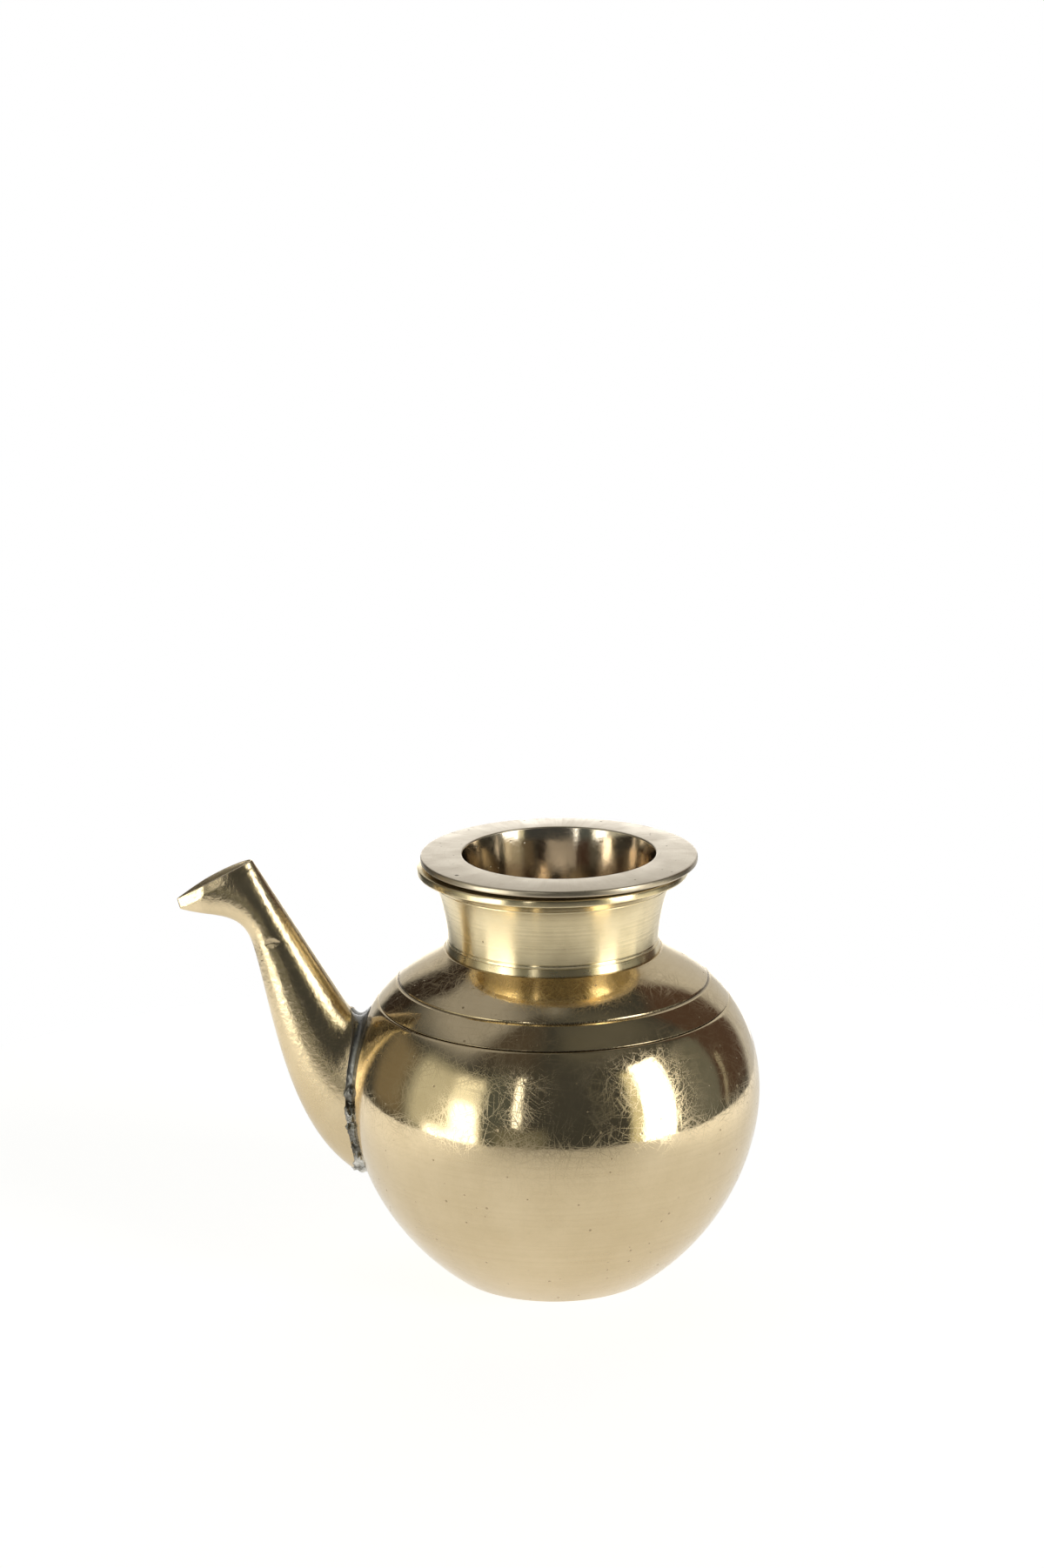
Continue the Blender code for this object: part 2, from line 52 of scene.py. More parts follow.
# How finely surfaces are cut. A wide rounding at the joint needs room, so the first few points
# beside it are left out. A rounding never takes more than a share of a side.
TURNED_STEPS = 288
CORNER_STEPS = 7
CORNER_SHARE = 0.48
ROUNDING_ROOM = 4
CURVE_STEPS = 90
BELLY_LINE_STEPS = 400
SEAM_STEPS = 60
SPOUT_AROUND = 240
LIP_ROWS = 5
BEAK_ROWS = 56
THROAT_ROWS = 160
INNER_ROW_STEP = 2
RIM_ROWS = 9
SOLDER_AROUND = 600
SOLDER_ROWS = 26

# Belly: an outline of two curves that meet at the widest height
BELLY_RADIUS = 70.0 * MM
WIDEST_HEIGHT = 63.4 * MM
BASE_RADIUS = 36.2 * MM
BASE_SLOPE = math.radians(37.5)
BASE_HANDLE = 36.2 * MM
LOWER_HANDLE = 12.7 * MM
UPPER_HANDLE = 35.2 * MM
SEAT_HANDLE = 7.6 * MM
SEAT_SLOPE = math.radians(33.0)
SEAT_HEIGHT = 113.8 * MM
SEAT_RADIUS = 37.0 * MM
WALL = 2.0 * MM
BASE_THICKNESS = 3.0 * MM
BASE_ROUND = 1.0 * MM
BASE_RING_SHARES = (0.9, 0.5, 0.0)

# Incised lines: the joint of bowl and shoulder, and the line above it
JOINT_HEIGHT = 96.2 * MM
JOINT_GAP = 0.15 * MM
BOWL_EDGE_ROUND = 1.2 * MM
SHOULDER_EDGE_ROUND = 0.42 * MM
GRIME_REACH = 0.10 * MM
LIP_LENGTH = 5.0 * MM
LIP_THICKNESS = 1.3 * MM
LIP_GAP = 0.3 * MM
LINE_HEIGHT = 103.3 * MM
LINE_WIDTH = 1.0 * MM
LINE_DEPTH = 0.42 * MM
LINE_SINK = 0.10 * MM
LINE_ROUND = 0.15 * MM
# Below this depth the floor of the incised line is darkened towards the hollow colour: painted shade, with
# grime.
LINE_PAINTED_SHADE_AND_GRIME_DEPTH = 0.6 * LINE_DEPTH
GROOVE_PAINTED_SHADE_AND_GRIME = 0.8
SEAM_TIP = 0.5 * MM
SEAM_GAP = 0.45 * MM
SMALL_ROUND = 0.25 * MM

# Neck
NECK_RADIUS = 35.6 * MM
NECK_BORE = 33.2 * MM
NECK_WALL = 2.4 * MM
NECK_FOOT = 114.1 * MM
NECK_STRAIGHT = 2.4 * MM
NECK_LOW_HANDLE = 7.5 * MM
NECK_FLARE_HANDLE = (4.1 * MM, 3.1 * MM)
FLARE_RADIUS = 42.5 * MM
SPIGOT_RADIUS = 34.4 * MM
SPIGOT_LENGTH = 3.0 * MM
SHOULDER_OPENING = 34.7 * MM
FLANGE_RADIUS = 45.6 * MM
FLANGE_UNDERSIDE = 140.1 * MM
FLANGE_EDGE_TOP = 142.7 * MM
FLANGE_CREST = 143.6 * MM
FLANGE_EDGE_ROUND = 0.8 * MM
FLANGE_FILLET = 0.5 * MM
MOUTH_RADIUS = 37.6 * MM
MOUTH_ROUND = 0.8 * MM
NECK_LINES = (117.6 * MM, 137.1 * MM)
NECK_LINE_WIDTH = 0.6 * MM
NECK_LINE_DEPTH = 0.16 * MM
BEAD_WIDTH = 0.7 * MM
BEAD_TOP_WIDTH = 0.2 * MM
BEAD_HEIGHT = 2.4 * MM
BEAD_ROUND = 0.2 * MM

# Mouth insert
INSERT_SHIFT = 2.1 * MM
RING_RADIUS = 46.5 * MM
RING_UNDERSIDE = 143.9 * MM
RING_EDGE_TOP = 146.1 * MM
RING_CROWN_TOP = 146.6 * MM
RING_EDGE_ROUND = 0.7 * MM
HOLE_RADIUS = 32.6 * MM
HOLE_ROUND = 0.6 * MM
SLEEVE_TOP_RADIUS = 34.2 * MM
SLEEVE_FOOT_RADIUS = 30.8 * MM
SLEEVE_WALL = 1.6 * MM
SLEEVE_END = 121.9 * MM
SLEEVE_FILLET = 1.0 * MM
CHIP_MIDDLE = (-31.7 * MM, -26.5 * MM, 146.4 * MM)
CHIP_RADIUS = 0.9 * MM

# Spout, side view: points as (reach outside the widest wall, rise over the widest height)
MOUTH_TIP = (56.3 * MM, 67.8 * MM)
MOUTH_BACK = (30.7 * MM, 81.2 * MM)
ROOT_TOP = (-0.9 * MM, 28.8 * MM)
ROOT_FOOT = (-1.1 * MM, -28.8 * MM)
BEAK_START = (55.4 * MM, 64.5 * MM)
BEAK_HANDLES = ((43.0 * MM, 61.5 * MM), (34.6 * MM, 64.3 * MM))
THROAT_START = (31.2 * MM, 51.6 * MM)
THROAT_HANDLES = ((25.2 * MM, 29.1 * MM), (21.3 * MM, -12.8 * MM))
LIP_SHARE = 0.03
THROAT_SHARE = 0.363
BEAK_FAN = 1.5
ROOT_FAN = 2.8
ROOT_FIT_POWER = 4
MOUTH_HALF_WIDTH = 4.8 * MM
LIP_HALF_WIDTH = 5.4 * MM
THROAT_HALF_WIDTH = 7.4 * MM
ROOT_HALF_WIDTH = 14.5 * MM
BEAK_NARROWING = 0.12
BEAK_BOXINESS = 0.5
BEAK_WEDGE_LENGTH = 9.5 * MM
BEAK_WEDGE_CURVE = 1.5
BEAK_TIP_SHARE = 0.2
MOUTH_WRAP = 0.7 * MM
ROOT_STANDOFF = 1.6 * MM
SPOUT_WALL = 1.6 * MM
MOUTH_WALL = 0.8 * MM
RIM_ROUND = 0.25 * MM
SPOUT_GIRTH = 60.0 * MM
# Columns of a spout section
FRONT, BACK = slice(0, 2), slice(2, 4)
HALF_WIDTH, WALL_THERE, WRAP, BEAK_SHAPING, ROOT_SHARE = (slice(i, i + 1) for i in range(4, 9))

# The small flat nick cut into the spout's near side: a point at its top, where the flat leaves the
# surface, the way the flat faces, a point on its lower edge, the way up from there, and the height
# of the step at that edge
NICK_TOP = (-94.80 * MM, -7.45 * MM, 119.90 * MM)
NICK_FACING = (-0.020, -0.993, -0.118)
NICK_FOOT = (-94.55 * MM, -7.63 * MM, 116.76 * MM)
NICK_UP = (-0.16, 0.0, 0.99)
NICK_STEP = 0.6 * MM
NICK_REACH = 6.5 * MM

# Water hole through the belly wall, behind the spout
WATER_HALF_WIDTH = 8.0 * MM
WATER_HALF_HEIGHT = 20.0 * MM
WATER_STEPS = 96
WATER_PLUG_ENDS = (-1.2 * BELLY_RADIUS, -0.7 * BELLY_RADIUS)

# Solder collar around the spout's root: pinched at its top, lumpy and ragged lower down
SOLDER_SPREAD = 0.9 * MM
SOLDER_TOP_PINCH = 3.0 * MM
SOLDER_FOOT_PINCH = 0.8 * MM
SOLDER_OVERLAP = 0.4 * MM
SOLDER_EDGE_SINK = 0.1 * SOLDER_OVERLAP
SOLDER_EDGE_STAND = 0.25 * MM
SOLDER_LUMP = 1.0 * MM
SOLDER_SWELL = 0.35
SOLDER_LUMP_SHARE = 0.5
SOLDER_SWELL_POWER = 0.6
SOLDER_RAGGED = 0.6 * MM
SOLDER_RAGGED_RANGE = (-1.0, 2.0)
SOLDER_SMOOTH_ABOVE = 76.0 * MM
SOLDER_SMOOTH_SPAN = 12.0 * MM
SOLDER_GIRTH = 140.0 * MM
SOLDER_WAVES = 40
SOLDER_SEED = 7
SOLDER_SHORTEST_WAVE = 1.2 * MM
SOLDER_LONGEST_WAVE = 4.0 * MM
SILVER_FROM = 47.0 * MM
SILVER_TO = 40.0 * MM
ROOT_HALF_HEIGHT = 28.8 * MM

# Camera and stage
CAMERA_PLACE = (-10.07 * MM, -1067.63 * MM, 442.50 * MM)
CAMERA_DOWN = 14.31
CAMERA_ROLL = -0.476
CAMERA_LENS = 75.87
TABLE_RADIUS = 325.0 * MM
TABLE_STEPS = 180
TABLE_RINGS = 24
TABLE_DROP = 0.05 * MM
TABLE_COLOUR = (0.42, 0.42, 0.415)
TABLE_WHITE = (1.0, 1.0, 0.99)
TABLE_CAMERA_LIFT = 0.86
TABLE_MIRROR_LIFT = 0.77
# Where the lift for mirrors changes: (from, to) in table radii, (from, to) of the lift. It is painted shade
# towards the front edge and painted light towards the left and right.
TABLE_FRONT_PAINTED_SHADE = (-1.0, -0.25, 0.55, 1.0)
TABLE_LEFT_PAINTED_LIGHT = (-0.3, -0.7, 1.0, 1.35)
TABLE_RIGHT_PAINTED_LIGHT = (0.45, 0.85, 1.0, 1.5)

# Finishes are made from noise. Its detail is how many finer layers it has, and its grain is how
# strong they are. A patchiness is (from, to) of the noise, (from, to) of the strength.
PATCH_DETAIL = 2.0

# Scratches: the directions they run in, how long they are for their width, the height of noise
# that shows as one, how far and how often they bend, how patchy they are, and how far each
# direction is shifted from the last
SCRATCH_DIRECTIONS = (4.0, 31.0, 58.0, 83.0, 112.0, 139.0, 166.0)
SCRATCH_STRETCH = 36.0
SCRATCH_CREST = 0.845
SCRATCH_CREST_DROP = 0.17
SCRATCH_CREST_WIDTH = 0.06
SCRATCH_BEND = 1.5 * MM
SCRATCH_BENDS_PER_METRE = 28.0
SCRATCH_BEND_DETAIL = 1.0
SCRATCH_PATCHES_PER_METRE = 55.0
SCRATCH_PATCHINESS = (0.35, 0.65, 0.5, 1.0)
SCRATCH_SHIFT = (0.37, 0.21)

# Other marks of the finishes: clouds of tarnish, turning marks, pits and uneven surfaces
CLOUD_CONTRAST = 0.22
CLOUD_DETAIL = 6.0
CLOUD_GRAIN = 0.62
TURNING_DETAIL = 3.0
TURNING_GRAIN = 0.7
TURNING_PATCHES_PER_METRE = 45.0
TURNING_PATCHINESS = (0.3, 0.7, 0.35, 1.0)
PIT_CORE = 0.45
PIT_SIZE = 0.2
PIT_STAIN = 0.75
PIT_ROUGHNESS = 0.3
WAVE_DETAIL = 5.0
WAVE_GRAIN = 0.58
BRASS_BUMP = 0.1 * MM

# Solder finish
SOLDER_CLOUDS = {"Clouds per metre": 220.0, "Contrast": 0.16}
SOLDER_PITS = {"Cells per metre": 900.0, "Size": 0.35, "Share": 0.4}
SOLDER_DROPS = {"Cells per metre": 500.0, "Size": 0.5, "Share": 0.22}
SOLDER_DARK = (0.075, 0.068, 0.052)
SOLDER_DULL = (0.30, 0.29, 0.255)
SOLDER_SMOOTH_GREY = (0.24, 0.235, 0.22)
SOLDER_SILVER = (0.80, 0.78, 0.72)
SOLDER_PIT = (0.04, 0.035, 0.03)
SOLDER_PIT_STAIN = 0.8
SOLDER_ROUGHNESS = (0.42, 0.26)
SOLDER_CLOUD_HEIGHT = 0.8
SOLDER_BUMP_STRENGTH = 0.6
SOLDER_BUMP = 0.2 * MM


# Curves, and the outlines of turned pieces as rows of (radius, height)

def between(start, end, share):
    """The value at a share of the way from a start to an end."""
    return start + (end - start) * share


def unit(vectors):
    """Vectors with their lengths brought to one."""
    return vectors / np.linalg.norm(vectors, axis=-1, keepdims=True)


def along(points):
    """Distance travelled along a row of points."""
    steps = np.linalg.norm(np.diff(points, axis=0), axis=1)
    return np.concatenate([[0.0], np.cumsum(steps)])


def quadratic(start, handle, end, t):
    """Quadratic curve: the three points weighted by the Bernstein terms at t."""
    return (1 - t) ** 2 * start + 2 * (1 - t) * t * handle + t ** 2 * end


def bezier(start, handle_a, handle_b, end, count):
    """Cubic curve: the four points weighted by the Bernstein terms at even steps of t."""
    t = np.linspace(0.0, 1.0, count)[:, None]
    start, handle_a, handle_b, end = (np.array(p) for p in (start, handle_a, handle_b, end))
    pulled = 3 * (1 - t) ** 2 * t * handle_a + 3 * (1 - t) * t ** 2 * handle_b
    return (1 - t) ** 3 * start + pulled + t ** 3 * end


def belly_outline(count):
    """The belly's outer line: one cubic up to the widest height, one from there to the seat."""
    base_handle = (
        BASE_RADIUS + BASE_HANDLE * math.cos(BASE_SLOPE),
        BASE_HANDLE * math.sin(BASE_SLOPE),
    )
    seat_handle = (
        SEAT_RADIUS + SEAT_HANDLE * math.cos(SEAT_SLOPE),
        SEAT_HEIGHT - SEAT_HANDLE * math.sin(SEAT_SLOPE),
    )
    widest = (BELLY_RADIUS, WIDEST_HEIGHT)
    lower_handle = (BELLY_RADIUS, WIDEST_HEIGHT - LOWER_HANDLE)
    upper_handle = (BELLY_RADIUS, WIDEST_HEIGHT + UPPER_HANDLE)
    lower = bezier((BASE_RADIUS, 0.0), base_handle, lower_handle, widest, count)
    upper = bezier(widest, upper_handle, seat_handle, (SEAT_RADIUS, SEAT_HEIGHT), count)
    return np.concatenate([lower, upper[1:]])


def inset(outline, distance):
    """An outline moved along its normal towards the axis by a distance."""
    slope = np.gradient(outline, axis=0)
    normal = np.stack([-slope[:, 1], slope[:, 0]], axis=1)
    return outline + distance * unit(normal)


OUTER_LINE = belly_outline(BELLY_LINE_STEPS)
INNER_LINE = inset(OUTER_LINE, WALL)


def radius_at(line, heights):
    """Radius of a rising line, read off between its points at one height or at many."""
    return np.interp(heights, line[:, 1], line[:, 0])


def stretch(line, low, high, count):
    """Points at even steps of length along a rising line between two heights."""
    inside = line[(line[:, 1] > low) & (line[:, 1] < high)]
    first = (radius_at(line, low), low)
    last = (radius_at(line, high), high)
    dense = np.vstack([first, inside, last])
    travelled = along(dense)
    places = np.linspace(0.0, travelled[-1], count)
    radii = np.interp(places, travelled, dense[:, 0])
    heights = np.interp(places, travelled, dense[:, 1])
    return np.column_stack([radii, heights])


def rounded(corners):
    """A closed outline whose corners (radius, height, rounding) become short quadratic curves.

    Each curve starts and ends one rounding away from its corner and has the corner as its handle.
    """
    corners = np.array(corners, dtype=float)
    points = corners[:, :2]
    before = np.roll(points, 1, axis=0) - points
    after = np.roll(points, -1, axis=0) - points
    before_length = np.linalg.norm(before, axis=1)
    after_length = np.linalg.norm(after, axis=1)
    reach = np.minimum(corners[:, 2], CORNER_SHARE * np.minimum(before_length, after_length))
    start = points + before * (reach / before_length)[:, None]
    end = points + after * (reach / after_length)[:, None]
    t = np.linspace(0.0, 1.0, CORNER_STEPS)[None, :, None]
    curves = quadratic(start[:, None], points[:, None], end[:, None], t)
    keep = np.ones(curves.shape[:2], dtype=bool)
    keep[reach <= 0.0, 1:] = False
    return curves[keep]


def plain(points):
    """Outline points that keep their place, with no rounding."""
    points = np.array(points, dtype=float)
    return np.column_stack([points, np.zeros(len(points))])


# Meshes from grids of points

def even_angles(count):
    """Angles at even steps round a full turn."""
    return np.arange(count) * 2 * math.pi / count


def plain_object(name, points, faces):
    """A flat-faced object from points and lists of corner numbers."""
    mesh = bpy.data.meshes.new(name)
    mesh.from_pydata(points, [], faces)
    thing = bpy.data.objects.new(name, mesh)
    bpy.context.scene.collection.objects.link(thing)
    return thing


def fan(pole, start, count):
    """Triangles from a pole to every step of a ring of points, as corner numbers."""
    first = np.arange(count)
    return np.column_stack([np.full(count, pole), start + first, start + (first + 1) % count])


def grid_cells(rows, columns, close_rows):
    """Row and column numbers of the four corners of every cell, not yet carried round."""
    row_count = rows if close_rows else rows - 1
    row, column = np.meshgrid(np.arange(row_count), np.arange(columns), indexing="ij")
    corner_rows = np.stack([row, row, row + 1, row + 1], axis=-1).reshape(-1, 4)
    corner_columns = np.stack([column, column + 1, column + 1, column], axis=-1).reshape(-1, 4)
    return corner_rows, corner_columns


def grid_quads(rows, columns, close_rows):
    """Four corner numbers for every cell of a grid that is closed across its columns."""
    corner_rows, corner_columns = grid_cells(rows, columns, close_rows)
    return (corner_rows % rows) * columns + corner_columns % columns


def grid_map(travelled, columns, girth, close_rows):
    """Map places in metres for every cell corner: distance round the piece, distance along it."""
    rows = len(travelled)
    corner_rows, corner_columns = grid_cells(rows, columns, close_rows)
    lengths = np.append(travelled, travelled[-1] + (travelled[-1] - travelled[-2]))
    return np.stack([corner_columns * girth / columns, lengths[corner_rows]], axis=-1)


def signed_volume(points, faces):
    """Six times the volume inside a closed mesh, negative where its faces point inwards."""
    a, b, c = (points[faces[:, i]] for i in range(3))
    volume = np.einsum("ij,ij->", a, np.cross(b, c))
    if faces.shape[1] == 4:
        d = points[faces[:, 3]]
        volume += np.einsum("ij,ij->", a, np.cross(c, d))
    return volume


def mesh_object(name, points, face_sets, map_sets, inside):
    """A smooth mesh from points and arrays of faces, turned outwards by the sign of its volume.

    The map gives the finish its place along and round the piece. The attribute "inside" tells how
    far a point is within a hollow or a groove.
    """
    volume = sum(signed_volume(points, faces) for faces in face_sets)
    turn = -1 if volume < 0.0 else 1
    faces = sum((faces[:, ::turn].tolist() for faces in face_sets), [])
    thing = plain_object(name, points, faces)
    mesh = thing.data
    mesh.shade_smooth()
    layer = mesh.attributes.new("inside", "FLOAT", "POINT")
    layer.data.foreach_set("value", inside.astype(np.float32))
    places = np.concatenate([places[:, ::turn].reshape(-1, 2) for places in map_sets])
    mesh.uv_layers.new(name=MAP_NAME).data.foreach_set("uv", places.astype(np.float32).ravel())
    mesh.validate()
    return thing


def turned_points(outline, shift=0.0):
    """An outline carried round the Z axis, seam at the back: (r sin a, r cos a, h) at even angles."""
    angles = even_angles(TURNED_STEPS)
    radii = outline[:, 0:1]
    x = radii * np.sin(angles) + shift
    y = radii * np.cos(angles)
    z = np.broadcast_to(outline[:, 1:2], x.shape)
    return np.stack([x, y, z], axis=-1).reshape(-1, 3)


def turned(name, outline, inside, shift=0.0):
    """A ring-shaped piece: a closed outline carried round the Z axis."""
    quads = grid_quads(len(outline), TURNED_STEPS, True)
    places = grid_map(along(outline), TURNED_STEPS, 2 * math.pi * outline[:, 0].max(), True)
    shares = np.repeat(inside, TURNED_STEPS)
    return mesh_object(name, turned_points(outline, shift), [quads], [places], shares)


def turned_bowl(name, outline, inside):
    """As turned, for an outline that starts and ends on the axis: its two ends become fans."""
    rings = outline[1:-1]
    points = turned_points(rings)
    poles = np.array([(0.0, 0.0, outline[0, 1]), (0.0, 0.0, outline[-1, 1])])
    girth = 2 * math.pi * outline[:, 0].max()
    travelled = along(outline)
    floor_fan = fan(len(points), 0, TURNED_STEPS)[:, ::-1]
    base_fan = fan(len(points) + 1, (len(rings) - 1) * TURNED_STEPS, TURNED_STEPS)
    quads = grid_quads(len(rings), TURNED_STEPS, False)
    places = grid_map(travelled[1:-1], TURNED_STEPS, girth, False)
    ends = [np.full((TURNED_STEPS, 3, 2), length) for length in (travelled[0], travelled[-1])]
    for end in ends:
        end[..., 0] = np.arange(TURNED_STEPS)[:, None] * girth / TURNED_STEPS
    shares = np.concatenate([np.repeat(inside[1:-1], TURNED_STEPS), [inside[0], inside[-1]]])
    faces = [quads, floor_fan, base_fan]
    return mesh_object(name, np.vstack([points, poles]), faces, [places, *ends], shares)


def within(outline, radius_limit, low, high):
    """1 for outline points nearer the axis than a limit between two heights, else 0."""
    radii, heights = outline[:, 0], outline[:, 1]
    return ((radii < radius_limit) & (heights > low) & (heights < high)).astype(float)


# Turned pieces

def make_belly_bowl():
    """The lower belly: inner line up, rim of the joint, outer line down to the rounded base."""
    rim = JOINT_HEIGHT - JOINT_GAP / 2
    inner = stretch(INNER_LINE, BASE_THICKNESS, rim, CURVE_STEPS)
    outer = stretch(OUTER_LINE, 0.0, rim, 2 * CURVE_STEPS)[::-1]
    floor = [(0.0, BASE_THICKNESS), (BASE_RADIUS / 2, BASE_THICKNESS)]
    outline = rounded(np.vstack([
        plain(floor),
        plain(inner),
        [(*outer[0], BOWL_EDGE_ROUND)],
        plain(outer[ROUNDING_ROOM:-1]),
        [(*outer[-1], BASE_ROUND)],
        plain([(BASE_RADIUS * share, 0.0) for share in BASE_RING_SHARES]),
    ]))
    inside = (np.arange(len(outline)) < len(floor) + len(inner)).astype(float)
    inside = np.maximum(inside, GROOVE_PAINTED_SHADE_AND_GRIME * (outline[:, 1] > rim - GRIME_REACH))
    bowl = turned_bowl("belly_bowl_fine", outline, inside)
    cut_water_hole(bowl)
    return bowl


def cut_water_hole(bowl):
    """Cut an oval prism, an ellipse carried along X through the wall, out of the bowl."""
    angles = even_angles(WATER_STEPS)
    y = WATER_HALF_WIDTH * np.cos(angles)
    z = WIDEST_HEIGHT + WATER_HALF_HEIGHT * np.sin(angles)
    ends = [np.column_stack([np.full(WATER_STEPS, x), y, z]) for x in WATER_PLUG_ENDS]
    corners = np.arange(WATER_STEPS)
    caps = [corners[::-1].tolist(), (WATER_STEPS + corners).tolist()]
    faces = grid_quads(2, WATER_STEPS, False).tolist() + caps
    plug = plain_object("water_hole_plug", np.vstack(ends), faces)
    plug_mesh = plug.data
    cut = bowl.modifiers.new("water hole", "BOOLEAN")
    cut.operation = "DIFFERENCE"
    cut.solver = "EXACT"
    cut.object = plug
    graph = bpy.context.evaluated_depsgraph_get()
    whole = bowl.data
    bowl.data = bpy.data.meshes.new_from_object(bowl.evaluated_get(graph))
    bowl.modifiers.clear()
    bpy.data.meshes.remove(whole)
    bpy.data.objects.remove(plug, do_unlink=True)
    bpy.data.meshes.remove(plug_mesh)


def make_belly_shoulder():
    """The upper belly: joint edge, incised line, seat, opening, inner line and lip."""
    foot = JOINT_HEIGHT + JOINT_GAP / 2
    lip = radius_at(INNER_LINE, JOINT_HEIGHT) - LIP_GAP
    lip_end = JOINT_HEIGHT - LIP_LENGTH
    inner_top = SEAT_HEIGHT - WALL
    half = LINE_WIDTH / 2
    below = stretch(OUTER_LINE, foot, LINE_HEIGHT - half, CURVE_STEPS // 2)
    above = stretch(OUTER_LINE, LINE_HEIGHT + half, SEAT_HEIGHT, CURVE_STEPS // 2)
    line_floor = (radius_at(OUTER_LINE, LINE_HEIGHT) - LINE_DEPTH, LINE_HEIGHT - LINE_SINK, LINE_ROUND)
    inner = stretch(INNER_LINE, JOINT_HEIGHT + LIP_THICKNESS, inner_top - WALL, CURVE_STEPS // 2)
    outline = rounded(np.vstack([
        [(*below[0], SHOULDER_EDGE_ROUND)],
        plain(below[ROUNDING_ROOM:-1]),
        [(*below[-1], LINE_ROUND), line_floor, (*above[0], LINE_ROUND)],
        plain(above[1:-1]),
        [(*above[-1], SMALL_ROUND), (SHOULDER_OPENING, SEAT_HEIGHT, SMALL_ROUND)],
        [(SHOULDER_OPENING, inner_top, SMALL_ROUND)],
        plain(inner[::-1]),
        [(lip - LIP_THICKNESS, lip_end, SMALL_ROUND), (lip, lip_end, SMALL_ROUND)],
        [(lip, foot, 0.0)],
    ]))
    wall_middle = radius_at(OUTER_LINE, outline[:, 1]) - WALL / 2
    inside = (outline[:, 0] < wall_middle).astype(float)
    proud = outline[:, 0] - radius_at(OUTER_LINE, outline[:, 1])
    # Darken the floor of the incised line, painted shade with grime, and the foot at the joint, grime in the
    # joint.
    painted_shade_and_grime = (proud < -LINE_PAINTED_SHADE_AND_GRIME_DEPTH) | (outline[:, 1] < foot + JOINT_GAP)
    inside = np.maximum(inside, GROOVE_PAINTED_SHADE_AND_GRIME * painted_shade_and_grime)
    return turned("belly_shoulder_fine", outline, inside)


def make_belly_seam():
    """The braze fillet in the wedge between the shoulder's lip and the bowl's wall."""
    low = JOINT_HEIGHT - LIP_LENGTH
    lip = radius_at(INNER_LINE, JOINT_HEIGHT)
    heights = np.linspace(low, JOINT_HEIGHT, SEAM_STEPS)
    wall = radius_at(INNER_LINE, heights) - SEAM_GAP
    top = heights[np.argmax(wall < lip + SEAM_TIP)]
    outline = rounded([
        (lip + SEAM_TIP, top, SMALL_ROUND),
        (radius_at(INNER_LINE, low) - SEAM_GAP, low, SMALL_ROUND),
        (lip, low, SMALL_ROUND),
        (lip, top, SMALL_ROUND),
    ])
    return turned("belly_seam_fine", outline, np.ones(len(outline)))


def make_neck_collar():
    """The neck: spigot, straight foot, flaring curve, flange with a rounded edge, and bore."""
    flare_start = NECK_FOOT + NECK_STRAIGHT
    handle_a = (NECK_RADIUS, flare_start + NECK_LOW_HANDLE)
    handle_b = (FLARE_RADIUS - NECK_FLARE_HANDLE[0], FLANGE_UNDERSIDE - NECK_FLARE_HANDLE[1])
    flare_end = (FLARE_RADIUS, FLANGE_UNDERSIDE)
    curve = ((NECK_RADIUS, flare_start), handle_a, handle_b, flare_end)
    flare = bezier(*curve, 2 * CURVE_STEPS)
    for line in NECK_LINES:
        from_line = np.abs(flare[:, 1] - line) / (NECK_LINE_WIDTH / 2)
        flare[:, 0] -= NECK_LINE_DEPTH * np.clip(1.0 - from_line, 0.0, 1.0)
    mouth_low = FLANGE_CREST - MOUTH_ROUND
    bore = inset(bezier(*curve, CURVE_STEPS // 2), NECK_WALL)
    bore = bore[(bore[:, 0] < MOUTH_RADIUS) & (bore[:, 1] < mouth_low)]
    spigot_end = NECK_FOOT - SPIGOT_LENGTH
    outline = rounded(np.vstack([
        [(NECK_BORE, spigot_end, SMALL_ROUND), (SPIGOT_RADIUS, spigot_end, SMALL_ROUND)],
        [(SPIGOT_RADIUS, NECK_FOOT, 0.0), (NECK_RADIUS, NECK_FOOT, SMALL_ROUND)],
        plain(flare[:-1]),
        [(*flare_end, FLANGE_FILLET), (FLANGE_RADIUS, FLANGE_UNDERSIDE, FLANGE_EDGE_ROUND)],
        [(FLANGE_RADIUS, FLANGE_EDGE_TOP, FLANGE_EDGE_ROUND)],
        [(MOUTH_RADIUS, FLANGE_CREST, MOUTH_ROUND)],
        plain(bore[::-1]),
    ]))
    wall_middle = radius_at(flare, outline[:, 1]) - NECK_WALL / 2
    in_foot = within(outline, NECK_RADIUS - NECK_WALL / 2, 0.0, mouth_low)
    in_flare = within(outline, MOUTH_RADIUS + MOUTH_ROUND, flare_start, mouth_low)
    inside = np.maximum(in_foot, in_flare * (outline[:, 0] < wall_middle))
    return turned("neck_collar_fine", outline, inside)


def make_neck_seam():
    """The brazed bead at the neck's foot: a low band, a little wider at the seat than at its top."""
    top = NECK_FOOT + BEAD_HEIGHT
    outline = rounded([
        (NECK_RADIUS - SMALL_ROUND, SEAT_HEIGHT, 0.0),
        (NECK_RADIUS + BEAD_WIDTH, SEAT_HEIGHT, BEAD_ROUND),
        (NECK_RADIUS + BEAD_TOP_WIDTH, top, BEAD_ROUND),
        (NECK_RADIUS - SMALL_ROUND, top, 0.0),
    ])
    return turned("neck_seam_fine", outline, np.zeros(len(outline)))


